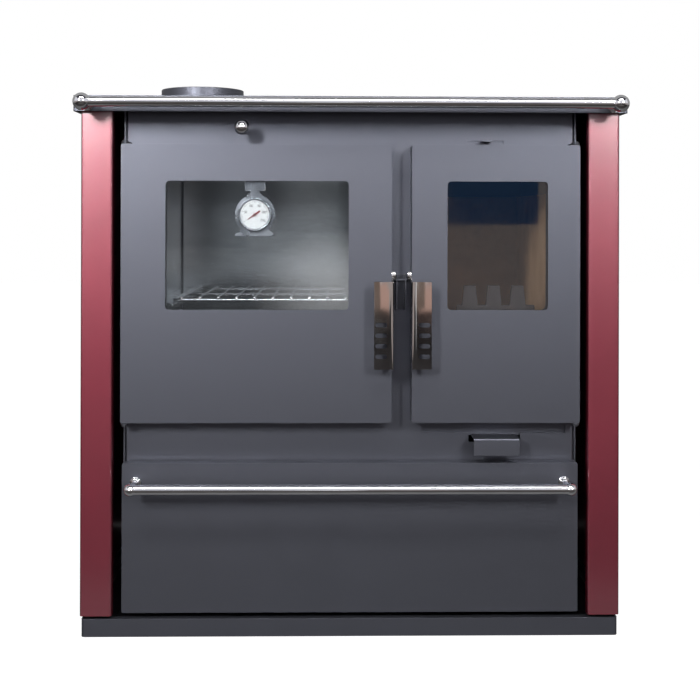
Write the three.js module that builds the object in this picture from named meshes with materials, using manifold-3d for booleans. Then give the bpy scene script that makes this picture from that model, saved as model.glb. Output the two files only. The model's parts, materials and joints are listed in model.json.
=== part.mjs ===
// Wood cookstove: a free-standing steel range with an oven on the left, a firebox on the right,
// a storage drawer below, a cooking plate on top and a round flue collar at the rear left.
// Millimetres, +Z up. The stove is laid out in a group whose y = 0 is the front face of the
// side panels, with y growing towards the back; the group is then centred over the floor point.

import * as THREE from 'three';
import { mergeVertices } from 'three/addons/utils/BufferGeometryUtils.js';
import Module from 'manifold-3d';

const wasm = await Module();
wasm.setup();

// ---------------------------------------------------------------- driving dimensions
const FIT = 0.3;                  // gap between pieces that seat on each other
const SLIP = 0.5;                 // running gap of a piece that turns or slides
const BEND_STEPS = 3;             // facets in a sheet's bend
const ROUND = 32;                 // facets round a large turned piece
const SMALL_ROUND = 16;           // facets round a small turned piece

const STOVE_W = 850;              // over the side panels
const STOVE_D = 570;              // side panels, front to back
const STOVE_H = 850;              // floor to the top frame's rim
const SHEET = 2;                  // casing sheet
const PLATE = 3;                  // carcass plate
const FRONT_MARGIN = 65;          // front panel's edge inside the casing's side
const FRONT_HALF_W = STOVE_W / 2 - FRONT_MARGIN;
const DOOR_LAP = 2;               // doors reach past the front panel's edge

// plinth
const PLINTH_H = 28;
const PLINTH_INSET = 2;
const PLINTH_CORNER = 6;
const PLINTH_LIP = 14;
const PLINTH_REVEAL = 5;          // shadow gap between plinth and casing
const PLINTH_UPSTAND_H = 7;       // sides' upturned edge closes the shadow gap and laps the casing

// top frame and cooking plate
const FRAME_OVERHANG_X = 10;
const FRAME_OVERHANG_Y = 12;
const FRAME_H = 25;
const FRAME_CORNER = 4;
const HOB_T = 8;
const HOB_GAP = 1;
const HOB_CORNER = 3;
const DECK_DROP = 11.5;           // deck's underside below the rim
const DECK_MARGIN_X = 85;
const DECK_MARGIN_Y = 77;

// side panels
const FLANGE_W = 50;              // coloured front flange
const FLANGE_RETURN = 15;
const BACK_FLANGE_W = 30;
const BEND_R = 3;

// front panel
const FRONT_RECESS = 35;          // front panel behind the side panels' face
const FRONT_RETURN = 20;
const BEND_CLEAR = 2;             // pieces behind the panel stay out of its inner bends
const FRONT_BOTTOM_Z = 256;

// vent slots of the back panel
const VENT_ROWS_Z = [75, 170];     // both rows air the drawer's bay
const VENT_COUNT = 10;
const VENT_SIZE = [8, 70];
const VENT_CORNER = 3.5;
const VENT_MARGIN = 125;          // outermost vent inside the back panel's edge

// shelves inside
const SHELF_Z = 262;
const DIVIDER_X = 68;
const BAFFLE_X = -150;
const BAFFLE_Y = 110;

// doors
const DOOR_FACE_Y = -1;
const DOOR_BOTTOM_Z = 336;
const DOOR_TOP_Z = STOVE_H - 75;
const DOOR_DEPTH = 33;
const DOOR_CORNER = 3;
const OVEN_DOOR_X = [-FRONT_HALF_W - DOOR_LAP, 64];
const FIRE_DOOR_X = [96, FRONT_HALF_W + DOOR_LAP];
const OVEN_WINDOW_X = [OVEN_DOOR_X[0] + 70, -4];
const FIRE_WINDOW_X = [152, FIRE_DOOR_X[1] - 51];
const WINDOW_Z = [514, DOOR_TOP_Z - 58];
const WINDOW_CORNER = 6;
const GLASS_T = 4;
const GLASS_LAP = 10;
const GLASS_RIM = 2;              // liner's rim stands this far outside the window cut-out
const GASKET_W = 8;
const GASKET_INSET = 3;
const GASKET_CORNER = 12;

// hinges
const PIN_R = 3;
const PIN_HEAD_R = 4.5;
const PIN_HEAD_H = 2.5;
const PIN_INSET = 6;              // pin axis from the door's side and face
const PIN_REACH = 12;
const LUG_R = 6;

// handles, seen on the oven door; the firebox door has the mirror image
const HANDLE_T = 2;
const GRIP_W = 29;
const GRIP_BEND = 6;              // the grip rolls back into the side tab
const GRIP_LIP = 11;              // rolled edge, front to back
const GRIP_H = 136;
const GRIP_TOP_Z = 560;
const GRIP_STAND = 28;            // grip in front of the door's face
const GRIP_SLOT = [18, 7];
const GRIP_SLOT_INSET = 11;       // slots' middle inside the grip's outer edge
const GRIP_SLOT_FIRST_Z = 444;
const GRIP_SLOT_PITCH = 16.3;
const GRIP_SLOTS = 4;
const TAB_BOTTOM_Z = 519;
const PIVOT_Y = 12;
const PIVOT_Z = 568;
const PIVOT_HEAD_R = 8;
const BOSS_R = 7.5;
const BOSS_H = 4;

// catch between the doors
const CATCH_W = 16;
const CATCH_Z = [513, 569];
const CATCH_DEPTH = 19;
const KEEPER_R = 3;
const KEEPER_Y = 24;
const KEEPER_Z = 560;
const KEEPER_L = 23;

// oven
const OVEN_INSET = 37;            // oven's outer wall inside the front panel's edge
const OVEN_X = [OVEN_INSET - FRONT_HALF_W, 40];
const OVEN_Z = [385, DOOR_TOP_Z - 37];
const OVEN_REAR_SPACE = 102;
const OVEN_BACK_Y = STOVE_D - OVEN_REAR_SPACE;
const MOUTH_CORNER = 8;
const RUNNER_Y = [50, OVEN_BACK_Y - 8];
const RUNNER_W = 37;
const RUNNER_TOP_Z = 520.6;
const RUNNER_LEG = 16;
const RUNNER_LIP = 9;
const RACK_SIDE_GAP = 34;         // rack's outer wire to the oven wall
const RACK_Y = [80, OVEN_BACK_Y - 84];
const RACK_FRAME_R = 2.75;
const RACK_WIRE_R = 2;
const RACK_WIRES = 10;
const RACK_EDGE = 13.2;           // outermost long wire inside the rack's frame

// firebox
const FUEL_MOUTH_X = [122, FRONT_HALF_W - 38];
const FUEL_MOUTH_Z = [440, DOOR_TOP_Z - 40];
const ASH_MOUTH_TOP_Z = 412;
const FIRE_FLOOR_Z = 425;         // top face of the firebox floor
const FIRE_FLOOR_T = 5;
const BRICK_T = 30;
const BRICK_TOP_Z = DOOR_TOP_Z - 75;
const BRICK_Y = [80, STOVE_D - 140];
const DIVIDER_TOP_Z = DOOR_TOP_Z - 15;
const GRATE_X = [124, FRONT_HALF_W - 52];
const GRATE_Y = [104, BRICK_Y[1] - 30];
const GRATE_T = 14;
const GRATE_SLOTS = 8;
const GRATE_SLOT_W = 10;
const GRATE_RIM = 14;
const GUARD_INSET = 125.5;        // middle tooth inside the front panel's edge
const GUARD_MIDDLE = FRONT_HALF_W - GUARD_INSET;
const GUARD_REACH = [60.5, 66.5];
const GUARD_X = [GUARD_MIDDLE - GUARD_REACH[0], GUARD_MIDDLE + GUARD_REACH[1]];
const GUARD_Y = [62, 76];
const GUARD_TIP_Z = 549;
const GUARD_VALLEY_Z = 517;
const GUARD_TEETH = 3;
const GUARD_PITCH = 39;
const GUARD_TIP_W = 19;
const GUARD_ROOT_W = 26;

// ash compartment
const ASH_SHELF_Z = 349;          // top face
const ASH_SHELF_END_Y = BRICK_Y[1] + 20;
const ASH_PAN_X = [132, FRONT_HALF_W - 48];
const ASH_PAN_Y = [64, BRICK_Y[1] - 10];
const ASH_PAN_H = 54;
const ASH_PAN_T = 1.5;
const ASH_LIP_W = 44;
const ASH_LIP_REACH = 18;
const ASH_LIP_RISE = 29.7;
const ASH_LIP_DROP = 12;

// air slides
const AIR_SLOT_X = [116, FRONT_HALF_W - 14];
const AIR_SLOT_Z = [314, 327];
const AIR_NOTCH_X = [190, 273];
const AIR_NOTCH_Z = 299.5;
const AIR_TAB_X = [194, 266];
const AIR_TAB_TOP_Z = 312;
const AIR_TAB_DROP = 27;
const AIR_TAB_FACE_Y = -5;
const AIR_TAB_TAIL_Y = 120;
const AIR_GATE_LAP = 5;
const GUIDE_INSET = 12;
const GUIDE_REACH = 70;
const GUIDE_PAD_H = 6;
const SECOND_OFFSET = 13;         // slot's middle beside the firebox door's
const SECOND_MIDDLE = (FIRE_DOOR_X[0] + FIRE_DOOR_X[1]) / 2 - SECOND_OFFSET;
const SECOND_SLOT_W = 60;
const SECOND_SLOT_Z = [DOOR_TOP_Z + 4, DOOR_TOP_Z + 9];
const SECOND_TAB_W = 16;
const SECOND_TAB_Y = 8;
const SECOND_PLATE_W = 100;
const SECOND_PLATE_LAP = 10;

// damper
const KNOB_X = -172;
const KNOB_DROP = 49.2;           // knob's axis below the rim
const KNOB_Z = STOVE_H - KNOB_DROP;
const KNOB_R = 12;
const KNOB_Y = -10;
const DAMPER_ROD_R = 4;
const DAMPER_FRONT = 230;         // damper plate's ends, from the stove's back
const DAMPER_REAR = 40;
const DAMPER_GUIDE_FRONT = 330;
const DAMPER_PLATE_Y = [STOVE_D - DAMPER_FRONT, STOVE_D - DAMPER_REAR];
const DAMPER_RAIL = 6;
const DAMPER_RAIL_H = 8;
const DAMPER_GUIDE_X = [-FRONT_HALF_W, -150];
const DAMPER_GUIDE_Y = STOVE_D - DAMPER_GUIDE_FRONT;

// flue collar
const FLUE_INSET_X = 80;          // collar's axis inside the front panel's edge
const FLUE_INSET_Y = 133;         // and from the stove's back
const FLUE_X = FLUE_INSET_X - FRONT_HALF_W;
const FLUE_Y = STOVE_D - FLUE_INSET_Y;
const FLUE_BORE_R = 76;
const FLUE_WALL = 3;
const FLUE_H = 54;
const FLUE_SHOULDER = 3;          // the collar's shoulder lies in a rebate of the cooking plate
const FLUE_TAIL = 14;

// hob ring and lid
const RING_INSET_X = 135;
const RING_INSET_Y = 300;
const RING_X = FRONT_HALF_W - RING_INSET_X;
const RING_Y = STOVE_D - RING_INSET_Y;
const RING_R = 110;
const LID_R = 63;
const RING_FACETS = 40;
const REBATE = 4;
const REBATE_W = 5;
const EDGE = 0.5;                 // broken edge of ring and lid
const LIFT_OFFSET = 38;           // lifter well in front of the lid's middle
const LIFT_WELL = [28, 16];
const LIFT_WELL_R = 7;
const LIFT_WELL_DEPTH = 5;
const LIFT_BAR_W = 6;
const LIFT_BAR_T = 2.5;

// rails
const RAIL_R = 8;
const TOP_RAIL_Z = STOVE_H - 14;
const TOP_RAIL_STAND = 43;        // rail axis in front of the top frame's skirt
const TOP_RAIL_HALF_L = STOVE_W / 2 - 12;
const TOP_BALL_R = 13.5;
const TOP_POST_R = 6;
const TOP_POST_FOOT_R = 11;
const DRAWER_RAIL_Z = 240.5;
const DRAWER_RAIL_STAND = 52;
const DRAWER_RAIL_HALF_L = FRONT_HALF_W - 21;
const DRAWER_BALL_R = 10;
const DRAWER_POST_R = 5;
const DRAWER_POST_FOOT_R = 9;
const POST_FOOT_H = 3;

// storage drawer
const DRAWER_HALF_W = FRONT_HALF_W + 1;
const DRAWER_Z = [35, 271];
const DRAWER_FACE_Y = 10;
const DRAWER_RETURN = 20;
const DRAWER_BOX_HALF_W = FRONT_HALF_W - 15;
const DRAWER_BOX_Z = [45, 235];
const DRAWER_BOX_END_Y = STOVE_D - 30;
const SLIDE_Y = [40, DRAWER_BOX_END_Y - 20];
const SLIDE_Z = [123, 143];
const SLIDE_W = 9;
const RUNNER_GAP = 2;
const RUNNER_WALL = 4;

// thermometer behind the oven window
const DIAL_OFFSET = 4.5;          // dial's axis beside the window's middle
const DIAL_DROP = 53;             // and below its top
const DIAL_X = (OVEN_WINDOW_X[0] + OVEN_WINDOW_X[1]) / 2 - DIAL_OFFSET;
const DIAL_Z = WINDOW_Z[1] - DIAL_DROP;
const HOLDER_R = 32;
const HOLDER_T = 1.5;
const HOLDER_Y = 16;
const HOLDER_TAB_W = 32;
const HOLDER_TAB_H = 17;
const HOLDER_NECK_W = 14.5;
const HOLDER_FLARE = [38, 24];    // the neck's width and height where it meets the ring
const HOLDER_FOOT_W = [42, 64];   // top and bottom
const HOLDER_FOOT_DROP = [34, 32.2, 23];
const CASE_R = 27;
const CASE_T = 8.5;
const SPINDLE_FACETS = 12;
const DIAL_R = 23;
const DIAL_DEPTH = 2.5;
const SPINDLE_R = 1.2;
const NEEDLE_L = 13;
const NEEDLE_TAIL = 10;
const NEEDLE_HUB_R = 2.4;
const NEEDLE_T = 0.6;
const NEEDLE_ANGLE = THREE.MathUtils.degToRad(145);

// ---------------------------------------------------------------- derived places
const WALL_IN = FRONT_HALF_W + FIT;              // carcass wall's inner face
const DECK_Z = STOVE_H - DECK_DROP;              // underside of the top frame's deck
const UNDER_DECK_Z = DECK_Z - FIT;
const DECK_TOP_Z = DECK_Z + PLATE;
const HOB_Z = DECK_TOP_Z + FIT;                  // underside of the cooking plate
const HOB_TOP_Z = HOB_Z + HOB_T;
const SKIRT_Y = -FRAME_OVERHANG_Y;
const SKIRT_HALF_W = STOVE_W / 2 + FRAME_OVERHANG_X;
const SKIRT_BACK_Y = STOVE_D + FRAME_OVERHANG_Y;
const PANEL_BACK_Y = FRONT_RECESS + PLATE;       // front panel's rear face
const BACK_Y = STOVE_D - SHEET;                  // back panel's inner face
const BEHIND_FRONT = PANEL_BACK_Y + FIT;
const BEFORE_BACK = BACK_Y - FIT;
const BEHIND_RETURNS = FRONT_HALF_W - PLATE - BEND_CLEAR;
const DIVIDER_RIGHT = DIVIDER_X + PLATE;
const CASING_Z = PLINTH_H + PLINTH_REVEAL;
const DOOR_BACK_Y = DOOR_FACE_Y + DOOR_DEPTH;
const LINER_Y = [DOOR_BACK_Y - 3, DOOR_BACK_Y - 1];
const GLASS_Y = DOOR_FACE_Y + SHEET + FIT;
const CATCH_X = (OVEN_DOOR_X[1] + FIRE_DOOR_X[0]) / 2;
const COLLAR_R = FLUE_BORE_R + FLUE_WALL;
const SIDES = { left: -1, right: 1 };

// ---------------------------------------------------------------- finishes
function finish(color, roughness, metalness) {
  return () => new THREE.MeshStandardMaterial({ color, roughness, metalness });
}
const anthracite = finish(0x4a4b50, 0.6, 0.3);
const darkSteel = finish(0x2b2c30, 0.65, 0.5);
const wineRed = finish(0x8c1f33, 0.45, 0.4);
const chrome = finish(0xd8d9dc, 0.12, 1.0);
const ovenSteel = finish(0x8f9290, 0.35, 0.9);
const castIron = finish(0x26272a, 0.8, 0.4);
const fireclay = finish(0xc79a6b, 0.95, 0.0);
const zinc = finish(0xa3a7aa, 0.45, 0.9);
const rope = finish(0x3a3a3a, 1.0, 0.0);
const needleRed = finish(0xc4202a, 0.5, 0.0);
function glassPane() {
  return new THREE.MeshStandardMaterial({
    color: 0x20242a, roughness: 0.05, metalness: 0, transparent: true, opacity: 0.35,
  });
}

// ---------------------------------------------------------------- solids
function toSolid(geometry) {
  geometry.deleteAttribute('normal');
  geometry.deleteAttribute('uv');
  const merged = mergeVertices(geometry, 1e-4);
  const corners = merged.index.array;
  const faces = [];
  for (let i = 0; i < corners.length; i += 3) {
    const [a, b, c] = [corners[i], corners[i + 1], corners[i + 2]];
    if (a !== b && b !== c && c !== a) faces.push(a, b, c);
  }
  return new wasm.Manifold(new wasm.Mesh({
    numProp: 3,
    vertProperties: merged.attributes.position.array,
    triVerts: new Uint32Array(faces),
  }));
}

function toGeometry(solid) {
  const mesh = solid.getMesh();
  const geometry = new THREE.BufferGeometry();
  geometry.setAttribute('position', new THREE.BufferAttribute(mesh.vertProperties, 3));
  geometry.setIndex(new THREE.BufferAttribute(mesh.triVerts, 1));
  geometry.computeVertexNormals();
  return geometry;
}

function cut(solid, ...tools) {
  return tools.reduce((rest, tool) => rest.subtract(tool), solid);
}

function join(solid, ...others) {
  return others.reduce((whole, other) => whole.add(other), solid);
}

// a rectangular block from its limits along x, y and z
function block([x0, x1], [y0, y1], [z0, z1]) {
  const geometry = new THREE.BoxGeometry(x1 - x0, y1 - y0, z1 - z0);
  geometry.translate((x0 + x1) / 2, (y0 + y1) / 2, (z0 + z1) / 2);
  return toSolid(geometry);
}

// an outline pushed along an axis: along z it is drawn in x, y; along y in x, z; along x in y, z
function prism(axis, shape, [from, to], arcSteps = 2) {
  const geometry = new THREE.ExtrudeGeometry(shape, {
    depth: to - from, bevelEnabled: false, curveSegments: arcSteps,
  });
  if (axis === 'z') {
    geometry.translate(0, 0, from);
  } else if (axis === 'y') {
    geometry.rotateX(Math.PI / 2);
    geometry.translate(0, to, 0);
  } else {
    geometry.rotateX(Math.PI / 2);
    geometry.rotateZ(Math.PI / 2);
    geometry.translate(from, 0, 0);
  }
  return toSolid(geometry);
}

// a round bar along an axis through a point, between two limits on that axis
function bar(axis, radius, [from, to], [a, b], facets = SMALL_ROUND) {
  const geometry = new THREE.CylinderGeometry(radius, radius, to - from, facets);
  const middle = (from + to) / 2;
  if (axis === 'x') {
    geometry.rotateZ(Math.PI / 2);
    geometry.translate(middle, a, b);
  } else if (axis === 'y') {
    geometry.translate(a, middle, b);
  } else {
    geometry.rotateX(Math.PI / 2);
    geometry.translate(a, b, middle);
  }
  return toSolid(geometry);
}

function ball(radius, x, y, z, facets = SMALL_ROUND) {
  const geometry = new THREE.SphereGeometry(radius, facets, facets / 2);
  geometry.translate(x, y, z);
  return toSolid(geometry);
}

// a profile of [radius, height] turned about an upright axis; off the axis it closes on itself
function turned(profile, x, y, facets = ROUND) {
  const loop = profile[0][0] > 0 ? [...profile, profile[0]] : profile;
  const points = loop.map(([radius, height]) => new THREE.Vector2(radius, height));
  const geometry = new THREE.LatheGeometry(points, facets);
  geometry.rotateX(Math.PI / 2);
  geometry.translate(x, y, 0);
  return toSolid(geometry);
}

function roundedRect([x0, x1], [y0, y1], radius) {
  const shape = new THREE.Shape();
  shape.absarc(x1 - radius, y0 + radius, radius, -Math.PI / 2, 0);
  shape.absarc(x1 - radius, y1 - radius, radius, 0, Math.PI / 2);
  shape.absarc(x0 + radius, y1 - radius, radius, Math.PI / 2, Math.PI);
  shape.absarc(x0 + radius, y0 + radius, radius, Math.PI, Math.PI * 1.5);
  return shape;
}

function polygon(points) {
  return new THREE.Shape(points.map(([x, y]) => new THREE.Vector2(x, y)));
}

// the section of a bent sheet: a centre line with rounded corners, thickened to both sides
function bentSheet(points, thickness, bend = BEND_R) {
  const corners = points.map(([x, y]) => new THREE.Vector2(x, y));
  const line = [];
  corners.forEach((corner, i) => {
    if (i === 0 || i === corners.length - 1) {
      line.push(corner);
      return;
    }
    const start = corners[i - 1].clone().sub(corner).setLength(bend).add(corner);
    const end = corners[i + 1].clone().sub(corner).setLength(bend).add(corner);
    line.push(...new THREE.QuadraticBezierCurve(start, corner, end).getPoints(BEND_STEPS));
  });
  const outer = [];
  const inner = [];
  line.forEach((point, i) => {
    const next = line[Math.min(i + 1, line.length - 1)];
    const last = line[Math.max(i - 1, 0)];
    const along = next.clone().sub(last).normalize();
    const side = new THREE.Vector2(-along.y, along.x).multiplyScalar(thickness / 2);
    outer.push(point.clone().add(side));
    inner.push(point.clone().sub(side));
  });
  return new THREE.Shape([...outer, ...inner.reverse()]);
}

function grown([low, high], margin) {
  return [low - margin, high + margin];
}

// a span of a given width about a middle
function spread(middle, width) {
  return [middle - width / 2, middle + width / 2];
}

function ordered(a, b) {
  return a < b ? [a, b] : [b, a];
}

// ---------------------------------------------------------------- scene graph
const cookstove = new THREE.Group();
const stove = new THREE.Group();
stove.position.y = -STOVE_D / 2;
cookstove.add(stove);

function place(name, solid, material, parent = stove) {
  const mesh = new THREE.Mesh(toGeometry(solid), material());
  mesh.name = name;
  parent.add(mesh);
  return mesh;
}

// ---------------------------------------------------------------- casing
function makePlinth() {
  const halfW = STOVE_W / 2 - PLINTH_INSET;
  const across = [-halfW, halfW];
  const deep = [PLINTH_INSET, STOVE_D - PLINTH_INSET];
  const outline = roundedRect(across, deep, PLINTH_CORNER);
  const room = roundedRect(grown(across, -SHEET), grown(deep, -SHEET), PLINTH_CORNER - SHEET);
  const mouth = block(grown(across, -PLINTH_LIP), grown(deep, -PLINTH_LIP), [SHEET, PLINTH_H + 1]);
  const tray = cut(
    prism('z', outline, [0, PLINTH_H]),
    prism('z', room, [SHEET, PLINTH_H - SHEET]),
    mouth,
  );
  const outer = STOVE_W / 2 - SHEET - FIT;
  const upturned = [-1, 1].map((side) => block(ordered(side * outer, side * (outer - SHEET)),
    grown(deep, -PLINTH_LIP), [PLINTH_H - SHEET, CASING_Z + PLINTH_UPSTAND_H]));
  place('base_plinth', join(tray, ...upturned), anthracite);
}

function makeSidePanel(side) {
  const outer = STOVE_W / 2 - SHEET / 2;
  const inner = STOVE_W / 2 - FLANGE_W + SHEET / 2;
  const front = SHEET / 2;
  const back = STOVE_D - SHEET / 2;
  const section = bentSheet([
    [SIDES[side] * inner, front + FLANGE_RETURN],
    [SIDES[side] * inner, front],
    [SIDES[side] * outer, front],
    [SIDES[side] * outer, back],
    [SIDES[side] * (STOVE_W / 2 - BACK_FLANGE_W), back],
  ], SHEET);
  place(`side_panel_${side}`, prism('z', section, [CASING_Z, UNDER_DECK_Z]), wineRed);
}

function makeCarcassWall(side) {
  const across = side === 'left' ? [-WALL_IN - PLATE, -WALL_IN] : [WALL_IN, WALL_IN + PLATE];
  const wall = block(across, [FRONT_RECESS + SHEET, BEFORE_BACK], [PLINTH_H + FIT, UNDER_DECK_Z]);
  place(`carcass_wall_${side}`, wall, darkSteel);
}

function makeShelves() {
  const floor = block([-FRONT_HALF_W, FRONT_HALF_W], [FRONT_RECESS, BEFORE_BACK],
    [CASING_Z, CASING_Z + PLATE]);
  place('carcass_floor', floor, darkSteel);
  const shelf = block([-BEHIND_RETURNS, BEHIND_RETURNS], [BEHIND_FRONT, BEFORE_BACK],
    [SHELF_Z, SHELF_Z + PLATE]);
  const baffle = block([BAFFLE_X, BAFFLE_X + PLATE], [BAFFLE_Y, OVEN_BACK_Y],
    [SHELF_Z, OVEN_Z[0] - SHEET - FIT]);
  place('mid_shelf', join(shelf, baffle), darkSteel);
  const divider = block([DIVIDER_X, DIVIDER_RIGHT], [BEHIND_FRONT, BEFORE_BACK],
    [SHELF_Z + PLATE + FIT, DIVIDER_TOP_Z]);
  place('firebox_divider', divider, darkSteel);
}

// the front panel carries the mouths, the air slots and the guide lip of the primary air slide
function makeFrontPanel() {
  const middle = FRONT_RECESS + PLATE / 2;
  const edge = FRONT_HALF_W - PLATE / 2;
  const section = bentSheet([
    [-edge, middle + FRONT_RETURN], [-edge, middle], [edge, middle], [edge, middle + FRONT_RETURN],
  ], PLATE);
  const through = [FRONT_RECESS - 5, PANEL_BACK_Y + 2];
  const ashMouthZ = [ASH_SHELF_Z, ASH_MOUTH_TOP_Z];
  const notch = roundedRect(AIR_NOTCH_X, [AIR_NOTCH_Z, AIR_SLOT_Z[0] + 3], 1);
  const guideX = grown(AIR_TAB_X, -GUIDE_INSET);
  const guideTop = AIR_TAB_TOP_Z - SHEET - FIT;
  const padZ = [AIR_NOTCH_Z - GUIDE_PAD_H, AIR_NOTCH_Z - SLIP];
  const lip = block(guideX, [PANEL_BACK_Y - 1, PANEL_BACK_Y + GUIDE_REACH],
    [guideTop - SHEET, guideTop]);
  const pad = block(guideX, [PANEL_BACK_Y - 1, PANEL_BACK_Y + 2 * SHEET], padZ);
  const hanger = block(guideX, [PANEL_BACK_Y + SHEET, PANEL_BACK_Y + 2 * SHEET],
    [padZ[0], guideTop]);
  const panel = cut(
    prism('z', section, [FRONT_BOTTOM_Z, UNDER_DECK_Z]),
    prism('y', roundedRect(OVEN_X, OVEN_Z, MOUTH_CORNER), through),
    prism('y', roundedRect(FUEL_MOUTH_X, FUEL_MOUTH_Z, MOUTH_CORNER), through),
    block(FUEL_MOUTH_X, through, ashMouthZ),
    block(AIR_SLOT_X, through, AIR_SLOT_Z),
    prism('y', notch, through),
    block(spread(SECOND_MIDDLE, SECOND_SLOT_W), through, SECOND_SLOT_Z),
    bar('y', DAMPER_ROD_R + SLIP, through, [KNOB_X, KNOB_Z]),
  );
  const clearance = block(guideX, [PANEL_BACK_Y - SHEET, PANEL_BACK_Y + SHEET],
    [padZ[1], guideTop + 1]);
  const guide = cut(join(lip, hanger), clearance);
  place('front_panel', join(panel, pad, guide), anthracite);
}

function makeBackPanel() {
  const halfW = STOVE_W / 2 - BACK_FLANGE_W - FIT;
  const pitch = 2 * (halfW - VENT_MARGIN) / (VENT_COUNT - 1);
  const vents = VENT_ROWS_Z.flatMap((z) => Array.from({ length: VENT_COUNT }, (_, i) => {
    const x = (i - (VENT_COUNT - 1) / 2) * pitch;
    const outline = roundedRect(spread(x, VENT_SIZE[0]), [z, z + VENT_SIZE[1]], VENT_CORNER);
    return prism('y', outline, [BACK_Y - 1, STOVE_D + 1], 1);
  }));
  const sheet = block([-halfW, halfW], [BACK_Y, STOVE_D], [CASING_Z, UNDER_DECK_Z]);
  place('back_panel', cut(sheet, ...vents), darkSteel);
}

// ---------------------------------------------------------------- top
function makeTopFrame() {
  const across = [-SKIRT_HALF_W, SKIRT_HALF_W];
  const deep = [SKIRT_Y, SKIRT_BACK_Y];
  const bottom = STOVE_H - FRAME_H;
  const inside = roundedRect(grown(across, -PLATE), grown(deep, -PLATE), 1);
  const opening = block(grown(across, -DECK_MARGIN_X), grown(deep, -DECK_MARGIN_Y),
    [bottom, STOVE_H]);
  const frame = cut(
    prism('z', roundedRect(across, deep, FRAME_CORNER), [bottom, STOVE_H]),
    prism('z', inside, [bottom - 1, DECK_Z]),
    prism('z', inside, [DECK_TOP_Z, STOVE_H + 1]),
    opening,
    bar('z', COLLAR_R + FIT, [DECK_Z - 1, DECK_TOP_Z + 1], [FLUE_X, FLUE_Y], ROUND),
  );
  place('top_frame', frame, anthracite);
}

// a round hole with a wider upper part, in which a ring or a collar lies
function rebatedHole(radius, ledge, x, y, facets) {
  return join(
    bar('z', radius - ledge, [HOB_Z - 1, HOB_TOP_Z + 1], [x, y], facets),
    bar('z', radius, [HOB_TOP_Z - REBATE, HOB_TOP_Z + 1], [x, y], facets),
  );
}

function makeHob() {
  const halfW = SKIRT_HALF_W - PLATE - HOB_GAP;
  const deep = [SKIRT_Y + PLATE + HOB_GAP, SKIRT_BACK_Y - PLATE - HOB_GAP];
  const plate = prism('z', roundedRect([-halfW, halfW], deep, HOB_CORNER), [HOB_Z, HOB_TOP_Z]);
  const ringHole = rebatedHole(RING_R + SLIP, REBATE_W, RING_X, RING_Y, RING_FACETS);
  const flueHole = rebatedHole(COLLAR_R + FLUE_SHOULDER + FIT, FLUE_SHOULDER, FLUE_X, FLUE_Y, ROUND);
  place('cooking_plate', cut(plate, ringHole, flueHole), castIron);

  const step = HOB_TOP_Z - REBATE + FIT;
  const ringInner = LID_R + SLIP;
  const ring = turned([
    [RING_R - REBATE_W - SLIP, HOB_Z], [RING_R - REBATE_W - SLIP, step], [RING_R, step],
    [RING_R, HOB_TOP_Z - EDGE], [RING_R - EDGE, HOB_TOP_Z], [ringInner, HOB_TOP_Z],
    [ringInner, HOB_TOP_Z - REBATE], [ringInner - REBATE_W, HOB_TOP_Z - REBATE],
    [ringInner - REBATE_W, HOB_Z],
  ], RING_X, RING_Y, RING_FACETS);
  place('hob_ring', ring, castIron);

  const lidNeck = LID_R - REBATE_W - SLIP;
  const disc = turned([
    [0, HOB_Z], [lidNeck, HOB_Z], [lidNeck, step], [LID_R, step], [LID_R, HOB_TOP_Z - EDGE],
    [LID_R - EDGE, HOB_TOP_Z], [0, HOB_TOP_Z],
  ], RING_X, RING_Y, RING_FACETS);
  const liftY = RING_Y - LIFT_OFFSET;
  const wellShape = roundedRect(spread(RING_X, LIFT_WELL[0]), spread(liftY, LIFT_WELL[1]), LIFT_WELL_R);
  const liftWell = prism('z', wellShape, [HOB_TOP_Z - LIFT_WELL_DEPTH, HOB_TOP_Z + 1]);
  const liftBar = block(spread(RING_X, LIFT_BAR_W), spread(liftY, LIFT_WELL[1] + 2),
    [HOB_TOP_Z - 1 - LIFT_BAR_T, HOB_TOP_Z - 1]);
  place('hob_lid', join(cut(disc, liftWell), liftBar), castIron);
}

function makeFlueCollar() {
  const top = STOVE_H + FLUE_H;
  const seat = HOB_TOP_Z - REBATE + FIT;
  const collar = turned([
    [FLUE_BORE_R, HOB_TOP_Z - FLUE_TAIL], [COLLAR_R, HOB_TOP_Z - FLUE_TAIL], [COLLAR_R, seat],
    [COLLAR_R + FLUE_SHOULDER, seat], [COLLAR_R + FLUE_SHOULDER, HOB_TOP_Z], [COLLAR_R, HOB_TOP_Z],
    [COLLAR_R, top - 1], [COLLAR_R - 1, top], [FLUE_BORE_R + 1, top], [FLUE_BORE_R, top - 1],
  ], FLUE_X, FLUE_Y);
  place('flue_collar', collar, darkSteel);
}

// a polished tube with a ball on each end, on two posts that stand out of a face
function makeRail(name, halfL, z, faceY, stand, ballR, postR, footR) {
  const axisY = faceY - stand;
  const tube = bar('x', RAIL_R, [-halfL, halfL], [axisY, z], 20);
  const ends = [-halfL, halfL].map((x) => ball(ballR, x, axisY, z));
  place(name, join(tube, ...ends), chrome);
  const seat = faceY - FIT;
  for (const side of ['left', 'right']) {
    const x = SIDES[side] * halfL;
    const post = join(
      bar('y', postR, [axisY, seat], [x, z], 12),
      bar('y', footR, [seat - POST_FOOT_H, seat], [x, z], 20),
    );
    place(`${name}_post_${side}`, cut(post, ball(ballR + FIT, x, axisY, z)), chrome);
  }
}

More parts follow.
